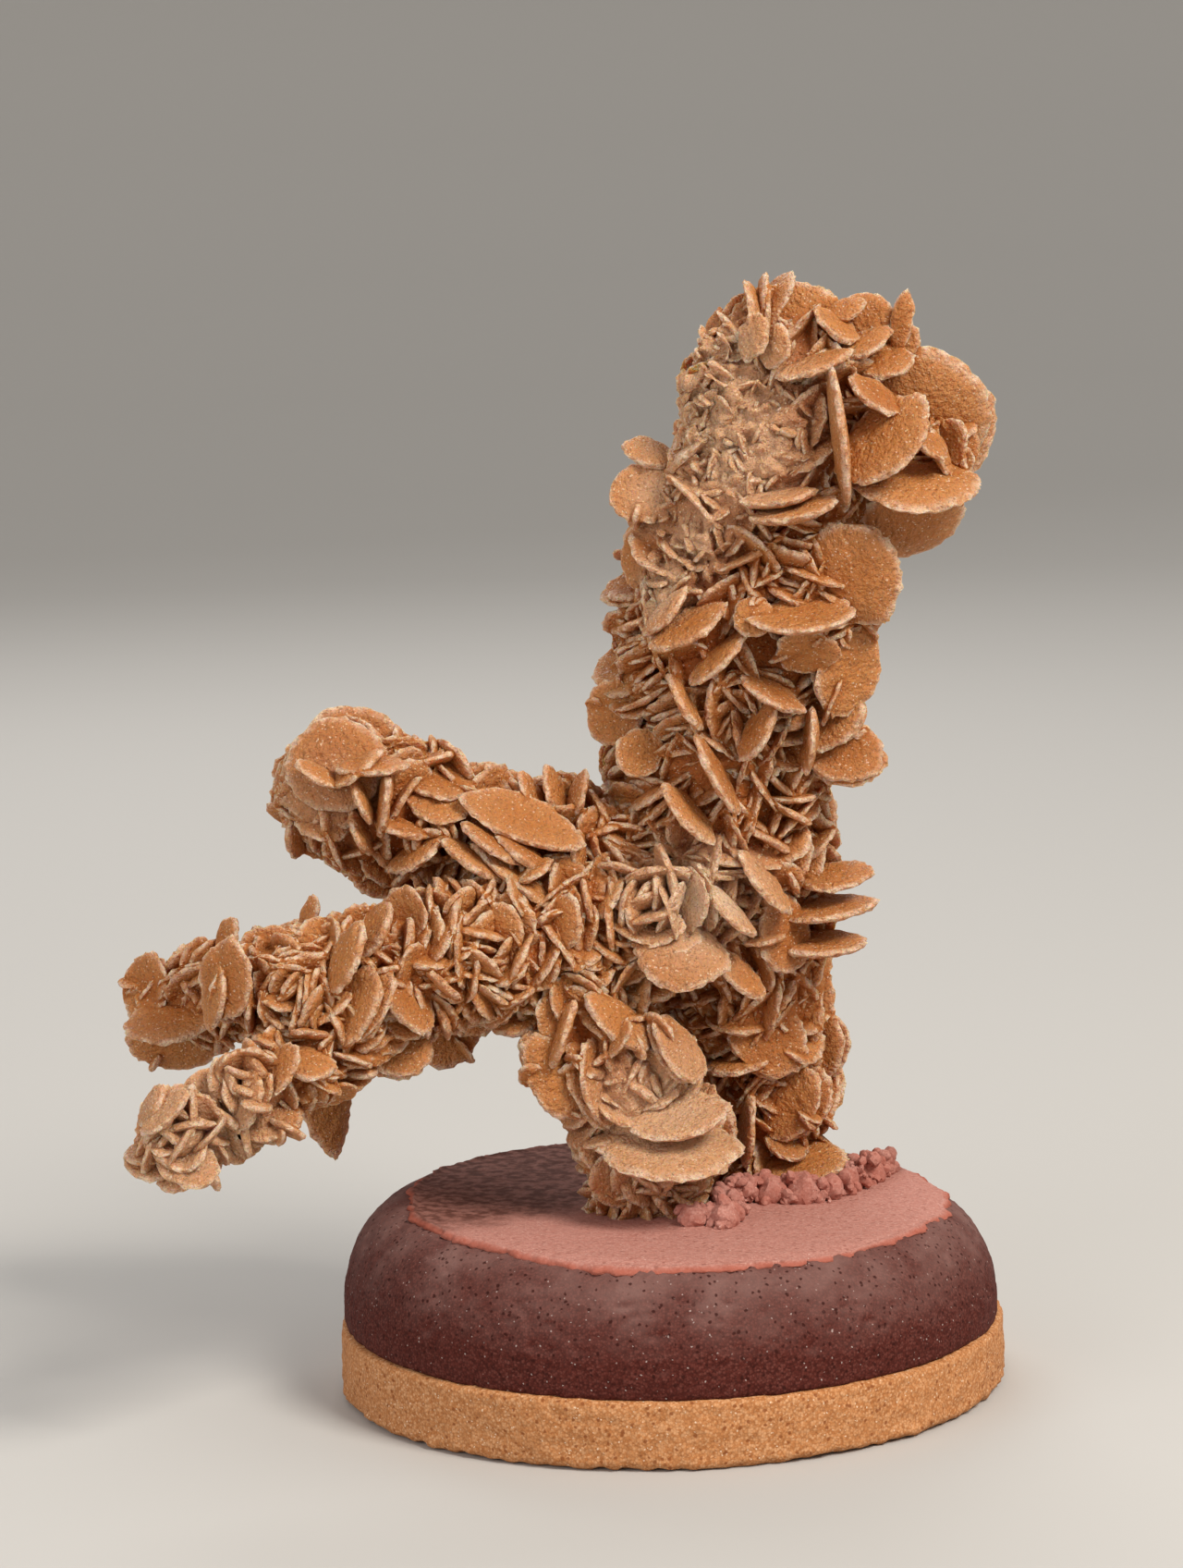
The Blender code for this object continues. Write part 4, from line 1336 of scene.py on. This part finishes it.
class Shader:
    """A Principled material and short ways to add nodes to it."""

    def __init__(self, name):
        self.material = bpy.data.materials.new(name)
        self.material.use_nodes = True
        self.tree = self.material.node_tree
        self.shader = self.tree.nodes["Principled BSDF"]
        self.place = self.node("ShaderNodeTexCoord").outputs["Object"]

    def node(self, kind, inputs=None, **settings):
        """A new node with those settings, its inputs fed with values or other nodes' outputs."""
        made = self.tree.nodes.new(kind)
        for key, value in settings.items():
            setattr(made, key, value)
        for socket, value in (inputs or {}).items():
            self.feed(made.inputs[socket], value)
        return made

    def feed(self, socket, value):
        if isinstance(value, bpy.types.NodeSocket):
            self.tree.links.new(value, socket)
        else:
            socket.default_value = value

    def noise(self, length, detail=2.0, rough=0.5):
        """Noise of about that wavelength in millimetres."""
        inputs = {"Vector": self.place, "Scale": 1 / (length * MM)}
        inputs.update({"Detail": detail, "Roughness": rough})
        return self.node("ShaderNodeTexNoise", inputs).outputs["Fac"]

    def cells(self, length, output="Color"):
        """Cells of about that width in millimetres."""
        inputs = {"Vector": self.place, "Scale": 1 / (length * MM)}
        return self.node("ShaderNodeTexVoronoi", inputs).outputs[output]

    def attribute(self, name):
        return self.node("ShaderNodeAttribute", attribute_name=name).outputs["Fac"]

    def span(self, value, low, high, to_low=0.0, to_high=1.0):
        """The value as it goes from low to high, mapped to go from to_low to to_high."""
        inputs = {"Value": value, "From Min": low, "From Max": high}
        inputs.update({"To Min": to_low, "To Max": to_high})
        return self.node("ShaderNodeMapRange", inputs).outputs["Result"]

    def math(self, operation, first, second):
        return self.node("ShaderNodeMath", {0: first, 1: second}, operation=operation).outputs[0]

    def mix(self, share, first, second):
        inputs = {0: share}
        for socket, tone in ((6, first), (7, second)):
            inputs[socket] = tone if isinstance(tone, bpy.types.NodeSocket) else (*tone, 1.0)
        return self.node("ShaderNodeMix", inputs, data_type="RGBA", blend_type="MIX").outputs[2]

    def veil(self, colour, value, low, high, most, tone):
        """The colour under a tone whose share grows to the most as the value goes to high."""
        return self.mix(self.span(value, low, high, 0.0, most), colour, tone)

    def red(self, colour):
        return self.node("ShaderNodeSeparateColor", {0: colour}).outputs[0]

    def bump(self, height, strength, distance, normal=None):
        inputs = {"Height": height, "Strength": strength, "Distance": distance * MM}
        if normal is not None:
            inputs["Normal"] = normal
        return self.node("ShaderNodeBump", inputs).outputs["Normal"]

    def finish(self, colour, roughness, normal, **sockets):
        self.feed(self.shader.inputs["Base Color"], colour)
        self.feed(self.shader.inputs["Roughness"], roughness)
        self.feed(self.shader.inputs["Normal"], normal)
        for name, value in sockets.items():
            self.shader.inputs[name.replace("_", " ")].default_value = value
        return self.material


def gypsum():
    """Caramel gypsum: painted shade in hollows and at shaded places, rims pale partly as a painted
    highlight, painted sparkles, specks of sand.
    """
    s = Shader("gypsum")
    powder = s.attribute("powder")
    outside = s.span(s.attribute("outside"), -2.0, 1.8)
    grain = s.noise(0.5, 2.0, 0.6)
    colour = s.mix(s.span(s.attribute("tint"), 0.1, 0.9), CARAMEL, TAN)
    colour = s.veil(colour, s.noise(9.0, 3.0), 0.35, 0.7, 0.6, TAN)
    # Painted shade in the hollows: darker where the surface lies below the mass that the blades
    # stand on.
    colour = s.mix(s.span(outside, 0.0, 0.75, 1.0, 0.0), colour, PAINTED_HOLLOW_SHADE)
    colour = s.veil(colour, powder, 0.0, 1.0, 0.72, POWDER)
    colour = s.veil(colour, powder, 1.0, 2.0, 0.6, BLEACHED_GYPSUM)
    # Painted shade at the shaded places.
    colour = s.veil(colour, powder, 0.0, -1.0, 0.6, SHADED_GYPSUM)
    # Lighter towards the rims and pale at them: partly the sugary rims' own colour, partly a
    # painted highlight.
    colour = s.veil(colour, s.attribute("rim"), 0.35, 1.0, 0.38, LIGHT_GYPSUM)
    rim = s.span(s.attribute("rim"), 0.84, 0.99)
    patchy_rim = s.span(s.noise(1.6, 3.0), 0.38, 0.62, 0.15, 0.95)
    colour = s.mix(s.math("MULTIPLY", rim, patchy_rim), colour, PALE_RIM_AND_HIGHLIGHT)
    # Dark specks of sand, and bright specks that are painted sparkles.
    specks_and_sparkles = s.red(s.cells(0.22))
    colour = s.veil(colour, specks_and_sparkles, 0.86, 0.9, 0.4, DARK_SPECK)
    colour = s.veil(colour, specks_and_sparkles, 0.035, 0.02, 0.5, PAINTED_SPARKLE)
    colour = s.veil(colour, grain, 0.3, 0.7, 0.3, SANDY)
    rough = s.span(s.red(s.cells(0.33)), 0.0, 0.15, 0.2, 0.6)
    normal = s.bump(s.cells(0.42, "Distance"), -1.0, 0.5)
    normal = s.bump(grain, 0.9, 0.7, normal)
    normal = s.bump(s.noise(1.5, 2.0), 0.8, 1.0, normal)
    return s.finish(
        colour,
        rough,
        normal,
        Subsurface_Weight=0.45,
        Subsurface_Radius=(1.0, 0.4, 0.12),
        Subsurface_Scale=0.0024,
        Specular_IOR_Level=0.3,
    )


def cast_sand(name, colours, grain_size, glints, crevice_shade, contrast, pit_size):
    """Sand bound in a cast, with its share of glints and how much shade is painted into its
    crevices.
    """
    base, dark, light, glint = colours
    s = Shader(name)
    value = s.red(s.cells(grain_size))
    colour = s.mix(s.span(value, 0.0, 0.5, contrast, 0.0), base, dark)
    colour = s.veil(colour, value, 0.5, 1.0, contrast, light)
    colour = s.veil(colour, s.noise(11.0, 3.0), 0.35, 0.75, 0.4, base)
    # Painted shade in the crevices between the grains.
    shadow = tuple(0.55 * part for part in dark)
    colour = s.veil(colour, s.cells(grain_size, "Distance"), 0.35, 0.8, crevice_shade, shadow)
    ragged = s.math("MULTIPLY", s.noise(0.55, 3.0), 0.6)
    hole = s.math("ADD", s.cells(pit_size, "Distance"), ragged)
    chosen = s.span(s.red(s.cells(pit_size)), 0.4, 0.5)
    pits = s.math("MULTIPLY", s.span(hole, 0.6, 0.48), chosen)
    colour = s.veil(colour, s.red(s.cells(0.2)), 1 - glints, 1 - 0.6 * glints, 0.7, glint)
    normal = s.bump(s.cells(grain_size, "Distance"), -0.9, grain_size * 0.6)
    normal = s.bump(pits, -1.0, pit_size * 0.4, normal)
    normal = s.bump(s.noise(2.2, 4.0, 0.6), 0.6, 0.7, normal)
    return s, colour, normal, s.math("MULTIPLY", pits, 0.85)


def tan_sand():
    s, colour, normal, pits = cast_sand(
        "tan_sand",
        TAN_SAND[:4],
        grain_size=0.36,
        glints=0.012,
        crevice_shade=0.45,
        contrast=0.85,
        pit_size=1.1,
    )
    # Painted shade in the pits.
    colour = s.mix(pits, colour, TAN_SAND[4])
    return s.finish(colour, 0.85, normal, Specular_IOR_Level=0.2)


def maroon_sand():
    """Maroon sand with dust and painted light where it faces up, lighter towards the top."""
    s, colour, normal, pits = cast_sand(
        "maroon_sand",
        MAROON_SAND[:4],
        grain_size=0.34,
        glints=0.005,
        crevice_shade=0.6,
        contrast=0.9,
        pit_size=1.0,
    )
    # Dust, and painted light on the top: lighter where the cast faces up.
    faces = s.node("ShaderNodeNewGeometry").outputs["Normal"]
    upward = s.node("ShaderNodeSeparateXYZ", {0: faces}).outputs["Z"]
    dust_and_light = s.span(upward, 0.12, 0.75, 0.0, 0.72)
    dust_and_light = s.math("MULTIPLY", dust_and_light, s.span(s.noise(7.0, 4.0), 0.32, 0.68, 0.25, 1.0))
    colour = s.mix(dust_and_light, colour, MAROON_DUST_AND_LIGHT)
    # Painted shade in the pits.
    colour = s.mix(pits, colour, MAROON_SAND[4])
    return s.finish(colour, 0.8, normal, Specular_IOR_Level=0.15)


def pink_sand():
    """Red-pink sand, with dark dust and a painted shadow of the rose at the left behind the leg,
    and a redder edge.
    """
    s, colour, normal, pits = cast_sand(
        "pink_sand",
        PINK_SAND[:4],
        grain_size=0.34,
        glints=0.004,
        crevice_shade=0.25,
        contrast=0.6,
        pit_size=1.2,
    )
    # Painted shade in the pits.
    colour = s.mix(s.math("MULTIPLY", pits, 0.5), colour, PINK_SAND[4])
    # Dark dust and the rose's painted shadow over the back-left of the fill.
    place = s.node("ShaderNodeSeparateXYZ", {0: s.place}).outputs
    rightward = s.math("MULTIPLY", place["X"], 0.55)
    across = s.math("ADD", rightward, s.math("MULTIPLY", place["Y"], -1.0))
    ragged = s.math("MULTIPLY", s.noise(8.0, 4.0), 0.016)
    dust_and_shadow = s.span(s.math("ADD", across, ragged), 0.014, 0.004)
    crumbs = s.span(s.noise(1.6, 3.0), 0.4, 0.6, 0.55, 1.0)
    colour = s.mix(s.math("MULTIPLY", dust_and_shadow, crumbs), colour, DARK_DUST_AND_SHADOW)
    colour = s.veil(colour, s.attribute("edge"), 0.3, 0.9, 0.75, RED_EDGE)
    return s.finish(colour, 0.88, normal, Specular_IOR_Level=0.2)


def plain(name, colour, roughness):
    material = bpy.data.materials.new(name)
    material.use_nodes = True
    shader = material.node_tree.nodes["Principled BSDF"]
    shader.inputs["Base Color"].default_value = (*colour, 1)
    shader.inputs["Roughness"].default_value = roughness
    return material


# --- stage


def make_stage():
    """A floor that is flat about the object and rises gently far away."""
    angle = angles(STAGE_SIDES)
    rings = []
    for radius, height in STAGE_RINGS:
        level = np.full(STAGE_SIDES, float(height))
        rings.append(np.column_stack((radius * np.cos(angle), radius * np.sin(angle), level)))
    faces = [tuple(range(STAGE_SIDES))]
    faces += [(a, d, c, b) for a, b, c, d in wall(len(rings), STAGE_SIDES)]
    floor = mesh_object("floor", np.concatenate(rings), faces)
    floor.location.z = -STAGE_DROP * MM
    floor.data.materials.append(plain("floor", STAGE_COLOUR, STAGE_ROUGHNESS))


def make_lights():
    for name, place, size, watts, colour in LIGHTS:
        data = bpy.data.lights.new(name, "AREA")
        data.size = size
        data.energy = watts
        data.color = colour
        item = bpy.data.objects.new(name, data)
        bpy.context.scene.collection.objects.link(item)
        item.location = place
        item.rotation_mode = "QUATERNION"
        item.rotation_quaternion = (Vector(LIGHT_AIM) - Vector(place)).to_track_quat("-Z", "Y")
    world = bpy.data.worlds.new("world")
    world.use_nodes = True
    background = world.node_tree.nodes["Background"]
    background.inputs["Color"].default_value = WORLD_COLOUR
    background.inputs["Strength"].default_value = WORLD_STRENGTH
    bpy.context.scene.world = world


# --- all

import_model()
bpy.context.scene.view_settings.view_transform = "Standard"
make_camera()
make_stage()
make_lights()
foot_layer(tan_sand())
body(maroon_sand())
pink = pink_sand()
top_fill(pink)
crumb_ridge(pink)
blades = gypsum()
for piece_name in LINES:
    rose_piece(piece_name, blades)
